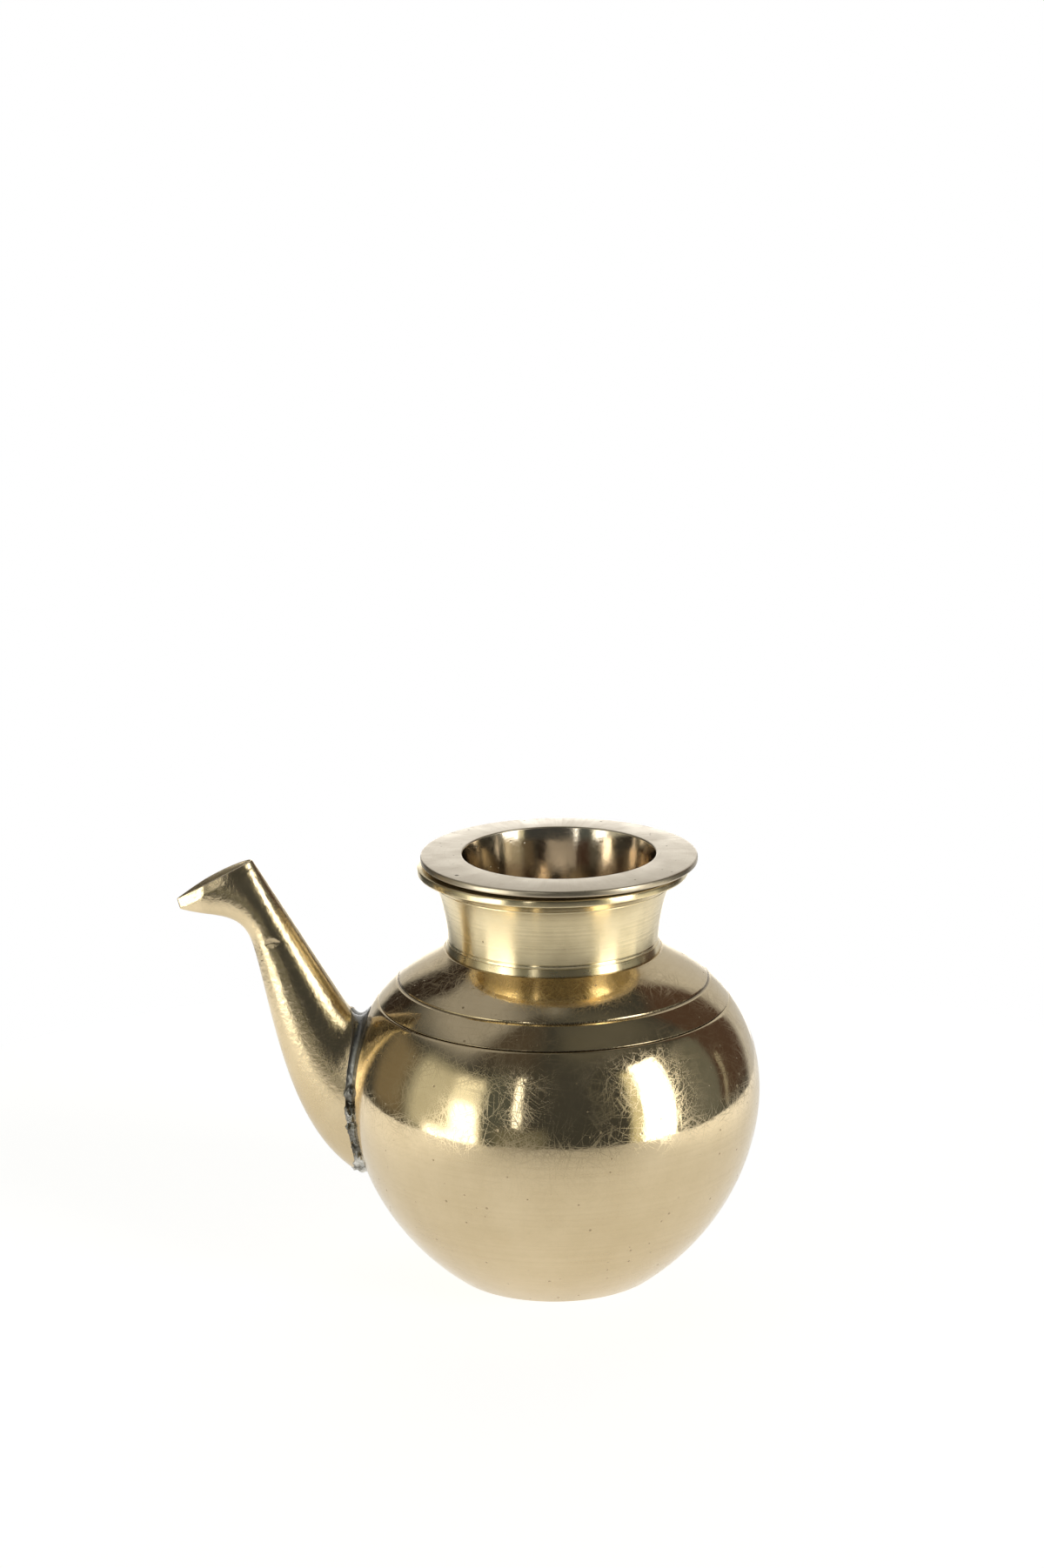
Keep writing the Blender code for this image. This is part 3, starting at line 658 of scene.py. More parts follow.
def make_mouth_insert():
    """The loose insert: crowned ring with rounded edges over a tapered open sleeve."""
    sleeve_foot_inner = SLEEVE_FOOT_RADIUS - SLEEVE_WALL
    outline = rounded([
        (HOLE_RADIUS, RING_CROWN_TOP, HOLE_ROUND),
        (sleeve_foot_inner, SLEEVE_END, SMALL_ROUND),
        (SLEEVE_FOOT_RADIUS, SLEEVE_END, SMALL_ROUND),
        (SLEEVE_TOP_RADIUS, RING_UNDERSIDE, SLEEVE_FILLET),
        (RING_RADIUS, RING_UNDERSIDE, RING_EDGE_ROUND),
        (RING_RADIUS, RING_EDGE_TOP, RING_EDGE_ROUND),
    ])
    inside = within(outline, SLEEVE_TOP_RADIUS + SLEEVE_FILLET, 0.0, RING_EDGE_TOP)
    return turned("mouth_insert_fine", outline, inside, INSERT_SHIFT)


# Spout and solder

def place(point):
    """A side-view point of the spout as (x, z), from its reach and rise."""
    return np.array((-(BELLY_RADIUS + point[0]), WIDEST_HEIGHT + point[1]))


def spout_sections():
    """Side-view sections of the spout from mouth to root, one row each.

    A row is (front x, front z, back x, back z, half width, wall, wrap, share of the beak's shaping,
    share of the root's fit). The front ends follow the lip, the beak's cubic and the throat's cubic.
    The back ends move along a straight line, by a power of the curve parameter on each stretch, and
    the widths grow evenly with it.
    """
    lip_t = np.linspace(0.0, 1.0, LIP_ROWS)[:-1]
    beak_t = np.linspace(0.0, 1.0, BEAK_ROWS)
    throat_t = np.linspace(0.0, 1.0, THROAT_ROWS)[1:]
    throat_start = place(THROAT_START)
    beak_handles = [place(handle) for handle in BEAK_HANDLES]
    throat_handles = [place(handle) for handle in THROAT_HANDLES]
    lip = between(place(MOUTH_TIP), place(BEAK_START), lip_t[:, None])
    beak = bezier(place(BEAK_START), *beak_handles, throat_start, BEAK_ROWS)
    throat = bezier(throat_start, *throat_handles, place(ROOT_FOOT), THROAT_ROWS)[1:]
    front = np.vstack([lip, beak, throat])
    beak_share = between(LIP_SHARE, THROAT_SHARE, beak_t ** BEAK_FAN)
    throat_share = between(1.0, THROAT_SHARE, (1.0 - throat_t) ** ROOT_FAN)
    share = np.concatenate([LIP_SHARE * lip_t, beak_share, throat_share])[:, None]
    back = between(place(MOUTH_BACK), place(ROOT_TOP), share)
    width = np.concatenate([
        between(MOUTH_HALF_WIDTH, LIP_HALF_WIDTH, lip_t),
        between(LIP_HALF_WIDTH, THROAT_HALF_WIDTH, beak_t),
        between(THROAT_HALF_WIDTH, ROOT_HALF_WIDTH, throat_t),
    ])
    beak_shaping = np.concatenate([np.ones(len(lip_t)), 1.0 - beak_t, 0.0 * throat_t])
    wall = between(SPOUT_WALL, MOUTH_WALL, beak_shaping)
    wrap = MOUTH_WRAP * beak_shaping ** 2
    root_share = np.concatenate([0.0 * lip_t, 0.0 * beak_t, throat_t ** ROOT_FIT_POWER])
    return np.column_stack([front, back, width, wall, wrap, beak_shaping, root_share])


def beak_wedge(x):
    """Share of the full width at each x: a blunt tip that opens into a wedge and then stays full."""
    from_tip = np.clip((x - place(MOUTH_TIP)[0]) / BEAK_WEDGE_LENGTH, 0.0, 1.0)
    return between(1.0, BEAK_TIP_SHARE, (1.0 - from_tip) ** BEAK_WEDGE_CURVE)


def section_loops(sections, inwards, around, lift=0.0):
    """Egg-shaped loops, one for each section, drawn in by a distance and lifted towards the mouth.

    A loop is centre + half * cos a + towards_mouth * wrap * sin(a)^2 in the side view. Across, it
    is (half width - inwards) * sin a, with squarer corners and a wedge at the front of the beak.
    """
    front, back, half_width = sections[:, FRONT], sections[:, BACK], sections[:, HALF_WIDTH]
    wrap, beak_shaping = sections[:, WRAP], sections[:, BEAK_SHAPING]
    centre = (front + back) / 2
    half = (front - back) / 2
    length = np.linalg.norm(half, axis=1, keepdims=True)
    towards_mouth = np.stack([half[:, 1], -half[:, 0]], axis=1) / length
    half = half * (1.0 - inwards / length)
    angles = even_angles(around)
    forward = np.cos(angles)
    side = np.sin(angles)
    raised = wrap * side ** 2 + lift
    x = centre[:, 0:1] + half[:, 0:1] * forward + towards_mouth[:, 0:1] * raised
    z = centre[:, 1:2] + half[:, 1:2] * forward + towards_mouth[:, 1:2] * raised
    squareness = BEAK_BOXINESS * beak_shaping * np.maximum(forward, 0.0)
    boxy = np.sign(side) * np.abs(side) ** (1.0 - squareness)
    narrowed = 1.0 - BEAK_NARROWING * beak_shaping * forward
    y = (half_width - inwards) * boxy * narrowed * beak_wedge(x - inwards)
    return np.stack([x, y, z], axis=-1)


def root_fit(root, around):
    """How far each point of the root moves along X so that its sides follow the belly."""
    loop = section_loops(root, 0.0, around)[0]
    radii = radius_at(OUTER_LINE, loop[:, 2]) + ROOT_STANDOFF
    fitted = -np.sqrt(radii ** 2 - loop[:, 1] ** 2)
    angles = even_angles(around)
    return (fitted - loop[:, 0]) * np.abs(np.sin(angles))


def spout_loops(sections, wall_share, around):
    """All loops of some sections, drawn in by a share of the wall and fitted to the belly."""
    loops = section_loops(sections, sections[:, WALL_THERE] * wall_share, around)
    loops[..., 0] += root_fit(spout_sections()[-1:], around) * sections[:, ROOT_SHARE]
    return loops


def file_nick(loops):
    """Press points that stand proud of the nick's flat back onto it, above its lower edge.

    The flat leaves the surface at its top and both sides. At its lower edge the press fades out over
    the height of a small step.
    """
    from_top = loops - np.array(NICK_TOP)
    rise = (loops - np.array(NICK_FOOT)) @ np.array(NICK_UP)
    facing = np.array(NICK_FACING)
    near = np.linalg.norm(from_top, axis=-1) < NICK_REACH
    share = np.clip(rise / NICK_STEP + 0.5, 0.0, 1.0) * near
    pressed = np.maximum(from_top @ facing, 0.0) * share
    return loops - pressed[..., None] * facing


def make_spout():
    """The hollow spout: outer loops, a half-round rim at the mouth, and fewer inner loops back."""
    sections = spout_sections()
    outside = file_nick(spout_loops(sections, 0.0, SPOUT_AROUND))
    inner = spout_loops(sections[::INNER_ROW_STEP], 1.0, SPOUT_AROUND)
    rim = []
    for turn in np.linspace(0.0, math.pi, RIM_ROWS)[1:-1]:
        inwards = MOUTH_WALL / 2 * (1.0 - math.cos(turn))
        rim.append(section_loops(sections[:1], inwards, SPOUT_AROUND, RIM_ROUND * math.sin(turn)))
    loops = np.concatenate([outside[::-1], *rim, inner])
    rows = len(loops)
    inside = np.repeat((np.arange(rows) >= len(outside) + len(rim)).astype(float), SPOUT_AROUND)
    quads = grid_quads(rows, SPOUT_AROUND, True)
    places = grid_map(along(loops.mean(axis=1)), SPOUT_AROUND, SPOUT_GIRTH, True)
    return mesh_object("spout_fine", loops.reshape(-1, 3), [quads], [places], inside)


def on_belly(loop, spread, lift):
    """A root loop widened by a distance and carried along X onto the belly, raised by a lift."""
    middle = loop.mean(axis=0)
    offset = loop - middle
    reach = np.linalg.norm(offset[:, 1:], axis=1)
    widened = middle + offset * (1.0 + spread / reach)[:, None]
    radii = radius_at(OUTER_LINE, widened[:, 2]) + lift
    widened[:, 0] = -np.sqrt(radii ** 2 - widened[:, 1] ** 2)
    return widened


def lumps(points):
    """Cooled-metal lumps: many cosine waves in seeded random directions, added and levelled."""
    draw = np.random.default_rng(SOLDER_SEED)
    directions = unit(draw.normal(size=(SOLDER_WAVES, 3)))
    lengths = draw.uniform(SOLDER_SHORTEST_WAVE, SOLDER_LONGEST_WAVE, SOLDER_WAVES)
    phases = draw.uniform(0.0, 2 * math.pi, SOLDER_WAVES)
    turns = points @ (directions / lengths[:, None]).T * 2 * math.pi + phases
    return np.cos(turns).sum(axis=-1) / math.sqrt(SOLDER_WAVES)


def make_spout_solder():
    """The solder collar: a pinched curve from the spout's root to the belly, carried round the root.

    The curve is quadratic and passes through the pinched waist, and the pinch grows with the square
    of the rise towards the root's top. Lumps raise the curve square to the root's outline, most in
    its middle, and shift its two ends a little. They fade out towards the top.
    """
    root = spout_sections()[-1:]
    root_outer = spout_loops(root, 0.0, SOLDER_AROUND)[0]
    root_inner = spout_loops(root, 1.0, SOLDER_AROUND)[0]
    heights = root_outer[:, 2]
    rough = np.clip((SOLDER_SMOOTH_ABOVE - heights) / SOLDER_SMOOTH_SPAN, 0.0, 1.0)
    ragged = SOLDER_RAGGED * rough * np.clip(lumps(root_outer), *SOLDER_RAGGED_RANGE)
    belly_outer = on_belly(root_outer, SOLDER_SPREAD + ragged, -SOLDER_EDGE_SINK)
    belly_inner = on_belly(root_inner, 0.0, SOLDER_OVERLAP)
    outwards = unit((root_outer - root_outer.mean(axis=0)) * (0.0, 1.0, 1.0))
    root_outer = root_outer + outwards * SOLDER_EDGE_STAND
    root_outer[:, 0] -= SOLDER_OVERLAP + np.maximum(ragged, 0.0)
    depth = np.linalg.norm(belly_outer - root_outer, axis=1)
    top_share = np.clip((heights - WIDEST_HEIGHT) / ROOT_HALF_HEIGHT, 0.0, 1.0) ** 2
    pinch = between(SOLDER_FOOT_PINCH, SOLDER_TOP_PINCH, top_share)
    drawn_in = outwards * (pinch * depth / depth.max())[:, None]
    # The middle of a quadratic curve lies halfway to its handle, so the handle goes twice as deep
    handle = (root_outer + belly_outer) / 2 - 2.0 * drawn_in
    t = np.linspace(0.0, 1.0, SOLDER_ROWS)[:, None, None]
    skin = quadratic(root_outer, handle, belly_outer, t)
    raised = (SOLDER_SWELL + SOLDER_LUMP_SHARE * lumps(skin)) * rough
    swell = np.sin(math.pi * t[..., 0]) ** SOLDER_SWELL_POWER * raised
    skin = skin + outwards * (SOLDER_LUMP * swell)[..., None]
    waist_inner = (root_inner + belly_inner) / 2 - drawn_in
    loops = np.concatenate([skin, belly_inner[None], waist_inner[None], root_inner[None]])
    quads = grid_quads(len(loops), SOLDER_AROUND, True)
    places = grid_map(along(loops[:, 0]), SOLDER_AROUND, SOLDER_GIRTH, True)
    hollow = np.zeros(loops.shape[0] * loops.shape[1])
    return mesh_object("spout_solder_fine", loops.reshape(-1, 3), [quads], [places], hollow)


# Node helpers

def add_node(tree, kind, inputs=None, **settings):
    """Add a node, set its properties, and set or link its inputs by name or number."""
    made = tree.nodes.new(kind)
    for key, value in settings.items():
        setattr(made, key, value)
    feed(tree, made, inputs or {})
    return made


def feed(tree, node, inputs):
    """Set or link several inputs of a node by name or number."""
    for key, value in inputs.items():
        put(tree, value, node.inputs[key])


def put(tree, value, socket):
    """Link another node's output to an input, or write a plain value on it."""
    if isinstance(value, bpy.types.NodeSocket):
        tree.links.new(value, socket)
    else:
        socket.default_value = value


def maths(tree, operation, *values, clamp=False):
    """One arithmetic step on one to three values."""
    made = add_node(tree, "ShaderNodeMath", dict(enumerate(values)), operation=operation, use_clamp=clamp)
    return made.outputs[0]


def remap(tree, value, low, high, to_low=0.0, to_high=1.0, smooth=False):
    """A value's range carried to another range, held at its ends."""
    kind = "SMOOTHSTEP" if smooth else "LINEAR"
    ends = {"Value": value, "From Min": low, "From Max": high, "To Min": to_low, "To Max": to_high}
    return add_node(tree, "ShaderNodeMapRange", ends, interpolation_type=kind).outputs["Result"]


def opaque(colour):
    """Red, green and blue with full cover, as a colour socket takes them."""
    return (*colour, 1.0)


def blend(tree, share, first, second):
    """Colour between two colours, each a socket or red, green and blue."""
    made = add_node(tree, "ShaderNodeMix", {"Factor": share}, data_type="RGBA")
    for number, colour in zip(MIX_COLOUR_INPUTS, (first, second)):
        put(tree, opaque(colour) if isinstance(colour, tuple) else colour, made.inputs[number])
    return made.outputs[MIX_COLOUR_OUTPUT]


def noise(tree, where, per_metre, detail=0.0, grain=0.5, dimensions="3D"):
    """Soft noise over a place, with finer layers as its detail grows. Returns the node's outputs."""
    socket = "W" if dimensions == "1D" else "Vector"
    values = {socket: where, "Scale": per_metre, "Detail": detail, "Roughness": grain}
    return add_node(tree, "ShaderNodeTexNoise", values, noise_dimensions=dimensions).outputs


def object_place(tree):
    """The surface point in the pot's own frame."""
    return add_node(tree, "ShaderNodeTexCoord").outputs["Object"]


def new_group(name, inputs, output):
    """An empty shader group of number sockets; returns its tree, what it is given and its output."""
    group = bpy.data.node_groups.new(name, "ShaderNodeTree")
    for label in inputs:
        group.interface.new_socket(label, in_out="INPUT", socket_type="NodeSocketFloat")
    group.interface.new_socket(output, in_out="OUTPUT", socket_type="NodeSocketFloat")
    given = group.nodes.new("NodeGroupInput").outputs
    return group, given, group.nodes.new("NodeGroupOutput").inputs[output]


def place_group(tree, group, values):
    """Place a shared effect in a material or the studio with its own values; returns its output."""
    return add_node(tree, "ShaderNodeGroup", values, node_tree=group).outputs[0]


# Finishes shared by several materials

def hairline_group():
    """Fine random scratches: flat noise stretched in several directions, its crests kept in patches."""
    group, given, out = new_group("hairline scratches", ("Lines per metre", "Share"), "Scratches")
    flat = add_node(group, "ShaderNodeUVMap", uv_map=MAP_NAME).outputs[0]
    bends = noise(group, flat, SCRATCH_BENDS_PER_METRE, SCRATCH_BEND_DETAIL, dimensions="2D")["Color"]
    bend = (SCRATCH_BEND, SCRATCH_BEND, 0.0)
    bent = add_node(group, "ShaderNodeVectorMath", {0: bends, 1: bend, 2: flat}, operation="MULTIPLY_ADD")
    patches = noise(group, object_place(group), SCRATCH_PATCHES_PER_METRE, PATCH_DETAIL)["Fac"]
    keep = maths(group, "MULTIPLY", given["Share"], remap(group, patches, *SCRATCH_PATCHINESS))
    low = maths(group, "SUBTRACT", SCRATCH_CREST, maths(group, "MULTIPLY", keep, SCRATCH_CREST_DROP))
    high = maths(group, "ADD", low, SCRATCH_CREST_WIDTH)
    total = 0.0
    for number, direction in enumerate(SCRATCH_DIRECTIONS):
        laid = add_node(group, "ShaderNodeMapping", {
            "Vector": bent.outputs[0],
            "Location": (SCRATCH_SHIFT[0] * number, SCRATCH_SHIFT[1] * number, 0.0),
            "Rotation": (0.0, 0.0, math.radians(direction)),
            "Scale": (1.0, SCRATCH_STRETCH, 1.0),
        }, vector_type="TEXTURE")
        crests = noise(group, laid.outputs[0], given["Lines per metre"], dimensions="2D")["Fac"]
        total = maths(group, "ADD", total, remap(group, crests, low, high))
    put(group, maths(group, "MINIMUM", total, 1.0), out)
    return group


def turning_group():
    """Lathe marks: rings of one-dimensional noise over height and radius, broken up around the pot."""
    group, given, out = new_group("turning marks", ("Lines per metre", "By height", "By radius"), "Marks")
    x, y, z = add_node(group, "ShaderNodeSeparateXYZ", {0: object_place(group)}).outputs
    across = maths(group, "SQRT", maths(group, "MULTIPLY_ADD", x, x, maths(group, "MULTIPLY", y, y)))
    by_radius = maths(group, "MULTIPLY", across, given["By radius"])
    travelled = maths(group, "MULTIPLY_ADD", z, given["By height"], by_radius)
    rings = noise(group, travelled, given["Lines per metre"], TURNING_DETAIL, TURNING_GRAIN, "1D")["Fac"]
    patches = noise(group, object_place(group), TURNING_PATCHES_PER_METRE, PATCH_DETAIL)["Fac"]
    strength = remap(group, patches, *TURNING_PATCHINESS)
    centred = maths(group, "SUBTRACT", rings, 0.5)
    put(group, maths(group, "MULTIPLY", centred, strength), out)
    return group


def pit_group():
    """Small pits: a round spot of random size in every cell of a grid, kept in a share of them."""
    group, given, out = new_group("pits", ("Cells per metre", "Size", "Share"), "Pits")
    cells = add_node(
        group, "ShaderNodeTexVoronoi", {"Vector": object_place(group), "Scale": given["Cells per metre"]}
    )
    chosen = add_node(group, "ShaderNodeSeparateColor", {0: cells.outputs["Color"]})
    size = maths(group, "MULTIPLY", given["Size"], chosen.outputs["Green"])
    core = maths(group, "MULTIPLY", size, PIT_CORE)
    near = remap(group, cells.outputs["Distance"], size, core, smooth=True)
    kept = maths(group, "LESS_THAN", chosen.outputs["Red"], given["Share"])
    put(group, maths(group, "MULTIPLY", near, kept), out)
    return group


def tarnish_group():
    """Cloudy tarnish: soft many-layered noise with its contrast raised."""
    group, given, out = new_group("tarnish", ("Clouds per metre", "Contrast"), "Tarnish")
    per_metre = given["Clouds per metre"]
    clouds = noise(group, object_place(group), per_metre, CLOUD_DETAIL, CLOUD_GRAIN)["Fac"]
    low = maths(group, "SUBTRACT", 0.5, given["Contrast"])
    high = maths(group, "ADD", 0.5, given["Contrast"])
    put(group, remap(group, clouds, low, high, smooth=True), out)
    return group


def chip(tree, middle):
    """Mask of one small dark chip around a point of the piece."""
    away = add_node(tree, "ShaderNodeVectorMath", {0: object_place(tree), 1: middle}, operation="DISTANCE")
    return remap(tree, away.outputs["Value"], CHIP_RADIUS, CHIP_RADIUS / 2, smooth=True)


def new_material(name):
    """A new material with nodes; returns it and its tree."""
    material = bpy.data.materials.new(name)
    material.use_nodes = True
    return material, material.node_tree


def new_metal(name):
    """A new material with its own shader set to metal; returns it, its tree and the shader."""
    material, tree = new_material(name)
    shader = tree.nodes["Principled BSDF"]
    shader.inputs["Metallic"].default_value = 1.0
    return material, tree, shader


def weighted(tree, start, parts):
    """A starting value plus every value of a list times its weight."""
    total = start
    for value, weight in parts:
        total = maths(tree, "MULTIPLY_ADD", value, weight, total)
    return total


def bumped(tree, height, strength, distance):
    """The surface's normal, shaped by a height."""
    values = {"Height": height, "Strength": strength, "Distance": distance}
    return add_node(tree, "ShaderNodeBump", values).outputs["Normal"]


def brass(name, groups, look):
    """Worn brass: two tones in tarnish clouds, turning marks, scratches, pits and its own hollow."""
    material, tree, shader = new_metal(name)
    clouds = place_group(
        tree, groups["tarnish"], {"Clouds per metre": look["clouds"], "Contrast": CLOUD_CONTRAST}
    )
    scratches = place_group(
        tree, groups["hairlines"], {"Lines per metre": look["scratch_lines"], "Share": look["scratch_share"]}
    )
    marks = place_group(tree, groups["turning"], {
        "Lines per metre": look["turning_lines"],
        "By height": look["by_height"],
        "By radius": look["by_radius"],
    })
    pits = place_group(
        tree, groups["pits"],
        {"Cells per metre": look["pit_cells"], "Size": PIT_SIZE, "Share": look["pit_share"]},
    )
    if "chip" in look:
        pits = maths(tree, "MAXIMUM", pits, chip(tree, look["chip"]))
    hollow = add_node(tree, "ShaderNodeAttribute", attribute_name="inside").outputs["Fac"]
    waves = noise(tree, object_place(tree), look["waves"], WAVE_DETAIL, WAVE_GRAIN)["Fac"]

    streaked = maths(tree, "MULTIPLY_ADD", marks, look["turning_tone"], clouds, clamp=True)
    tone = blend(tree, streaked, look["clean"], look["tarnished"])
    tone = blend(tree, maths(tree, "MULTIPLY", pits, PIT_STAIN), tone, look["pit_colour"])
    # Insides and grooves take the hollow colour: dark tarnish inside the belly and neck, with painted shade
    # and grime in the grooves, and inside the spout and the insert a colour lighter than their outsides,
    # which is painted light.
    tone = blend(tree, hollow, tone, look["hollow_colour"])

    rough = weighted(tree, look["roughness"], (
        (clouds, look["cloud_roughness"]),
        (scratches, look["scratch_roughness"]),
        (marks, look["turning_roughness"]),
        (pits, PIT_ROUGHNESS),
    ))
    rough = maths(tree, "MULTIPLY_ADD", hollow, look["hollow_roughness"], rough, clamp=True)

    height = weighted(tree, 0.0, (
        (scratches, -look["scratch_depth"]),
        (marks, look["turning_depth"]),
        (pits, -look["pit_depth"]),
        (waves, look["unevenness"]),
    ))
    normal = bumped(tree, height, 1.0, BRASS_BUMP)
    feed(tree, shader, {"Base Color": tone, "Roughness": rough, "Normal": normal})
    if look["brushed"] > 0.0:
        brush = add_node(tree, "ShaderNodeTangent", direction_type="RADIAL", axis="Z")
        put(tree, brush.outputs["Tangent"], shader.inputs["Tangent"])
        shader.inputs["Anisotropic"].default_value = look["brushed"]
        shader.inputs["Anisotropic Rotation"].default_value = QUARTER_TURN
    return material


def solder_metal(groups):
    """Cooled grey solder: mottled, pitted and silvery low down, and a smooth grey at its top."""
    material, tree, shader = new_metal("grey_solder")
    clouds = place_group(tree, groups["tarnish"], SOLDER_CLOUDS)
    pits = place_group(tree, groups["pits"], SOLDER_PITS)
    drops = place_group(tree, groups["pits"], SOLDER_DROPS)
    height_up = add_node(tree, "ShaderNodeSeparateXYZ", {0: object_place(tree)}).outputs["Z"]
    smooth_from = SOLDER_SMOOTH_ABOVE - SOLDER_SMOOTH_SPAN
    smooth = remap(tree, height_up, smooth_from, SOLDER_SMOOTH_ABOVE, smooth=True)
    silver = maths(tree, "MAXIMUM", drops, remap(tree, height_up, SILVER_FROM, SILVER_TO, smooth=True))
    tone = blend(tree, clouds, SOLDER_DARK, SOLDER_DULL)
    tone = blend(tree, smooth, tone, SOLDER_SMOOTH_GREY)
    tone = blend(tree, maths(tree, "MULTIPLY", silver, clouds), tone, SOLDER_SILVER)
    tone = blend(tree, maths(tree, "MULTIPLY", pits, SOLDER_PIT_STAIN), tone, SOLDER_PIT)
    rough = remap(tree, clouds, 0.0, 1.0, *SOLDER_ROUGHNESS)
    height = maths(tree, "SUBTRACT", maths(tree, "MULTIPLY", clouds, SOLDER_CLOUD_HEIGHT), pits)
    normal = bumped(tree, height, SOLDER_BUMP_STRENGTH, SOLDER_BUMP)
    feed(tree, shader, {"Base Color": tone, "Roughness": rough, "Normal": normal})
    return material


POLISHED = {
    "clean": (0.70, 0.57, 0.365), "tarnished": (0.62, 0.495, 0.30), "clouds": 24.0,
    "scratch_lines": 2600.0, "scratch_share": 1.0, "scratch_roughness": 0.18, "scratch_depth": 0.006,
    "turning_lines": 600.0, "by_height": 1.0, "by_radius": 0.0, "turning_roughness": 0.10,
    "turning_depth": 0.02, "turning_tone": 0.8, "pit_cells": 300.0, "pit_share": 0.40,
    "pit_depth": 0.3, "pit_colour": (0.36, 0.27, 0.16), "hollow_colour": (0.10, 0.07, 0.04),
    "hollow_roughness": 0.25, "roughness": 0.055, "cloud_roughness": 0.035, "brushed": 0.0,
    "unevenness": 1.0, "waves": 70.0,
}
# The spout's hollow colour is lighter than its outside brass: painted light inside the spout.
SPOUT_LOOK = dict(
    POLISHED, clouds=40.0, roughness=0.16, cloud_roughness=0.05, turning_depth=0.0, turning_tone=0.0,
    turning_roughness=0.0, scratch_roughness=0.08, unevenness=1.6, waves=500.0, pit_share=0.18,
    pit_cells=260.0, hollow_colour=(0.80, 0.70, 0.52), hollow_roughness=0.35,
)
NECK_LOOK = dict(
    POLISHED, clean=(0.85, 0.72, 0.455), tarnished=(0.77, 0.64, 0.39), roughness=0.22, clouds=60.0,
    turning_lines=1300.0, turning_depth=0.04, turning_roughness=0.14, cloud_roughness=0.05,
    pit_share=0.03, brushed=0.9, scratch_share=0.0, scratch_roughness=0.0, scratch_depth=0.0,
)
# The insert's hollow colour is lighter than its ring: painted light inside the sleeve.
INSERT_LOOK = dict(
    POLISHED, clean=(0.57, 0.495, 0.375), tarnished=(0.50, 0.425, 0.315), roughness=0.27, clouds=90.0,
    turning_lines=2000.0, by_height=0.0, by_radius=1.0, turning_depth=0.03, cloud_roughness=0.08,
    pit_share=0.3, pit_cells=420.0, pit_colour=(0.10, 0.08, 0.05),
    hollow_colour=(0.63, 0.545, 0.43), hollow_roughness=-0.21,
    scratch_roughness=0.05, chip=CHIP_MIDDLE,
)
BRAZE_LOOK = dict(NECK_LOOK, roughness=0.26, clouds=160.0)


def finish_piece(piece, node, body, material):
    """Give a fine piece its material, hang it on the body it rides on, and hide the solid that it stands
    for.
    """
    piece.data.materials.clear()
    piece.data.materials.append(material)
    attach(piece, body)
    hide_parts(node)


# Stage

def make_table():
    """A plain round table top: rings of even radius round the axis, just under the base."""
    angles = even_angles(TABLE_STEPS)
    radii = np.linspace(TABLE_RADIUS / TABLE_RINGS, TABLE_RADIUS, TABLE_RINGS)[:, None]
    x, y = radii * np.cos(angles), radii * np.sin(angles)
    points = np.stack([x, y, np.full(x.shape, -TABLE_DROP)], axis=-1).reshape(-1, 3)
    middle = np.array([(0.0, 0.0, -TABLE_DROP)])
    rings = grid_quads(TABLE_RINGS, TABLE_STEPS, False)[:, ::-1].tolist()
    faces = rings + fan(len(points), 0, TABLE_STEPS).tolist()
    table = plain_object("table", np.vstack([points, middle]), faces)
    table.data.materials.append(table_paint())


def table_lift(tree, distance, change):
    """A lift that changes smoothly between two shares of the table's radius."""
    start, end, low, high = change
    return remap(tree, distance, start * TABLE_RADIUS, end * TABLE_RADIUS, low, high, smooth=True)


def table_paint():
    """White table: a matt surface that keeps the shadow, lifted to white for camera and mirrors.

    What mirrors see of it falls off towards its front edge, a painted shade, and grows towards its left and
    right, painted pools of light.
    """
    material, tree = new_material("white_table")
    tree.nodes.clear()
    rays = add_node(tree, "ShaderNodeLightPath").outputs
    x, y, _ = add_node(tree, "ShaderNodeSeparateXYZ", {0: object_place(tree)}).outputs
    mirrored = maths(tree, "MULTIPLY", rays["Is Glossy Ray"], TABLE_MIRROR_LIFT)
    # Painted shade towards the front edge and painted pools of light at the left and right, seen only in
    # mirrors.
    for distance, change in ((y, TABLE_FRONT_PAINTED_SHADE), (x, TABLE_LEFT_PAINTED_LIGHT), (x, TABLE_RIGHT_PAINTED_LIGHT)):
        mirrored = maths(tree, "MULTIPLY", mirrored, table_lift(tree, distance, change))
    strength = maths(tree, "MULTIPLY_ADD", rays["Is Camera Ray"], TABLE_CAMERA_LIFT, mirrored)
    matt = add_node(tree, "ShaderNodeBsdfDiffuse", {"Color": opaque(TABLE_COLOUR)})
    lift = add_node(tree, "ShaderNodeEmission", {"Color": opaque(TABLE_WHITE), "Strength": strength})
    both = add_node(tree, "ShaderNodeAddShader", {0: matt.outputs[0], 1: lift.outputs[0]})
    add_node(tree, "ShaderNodeOutputMaterial", {"Surface": both.outputs[0]})
    return material


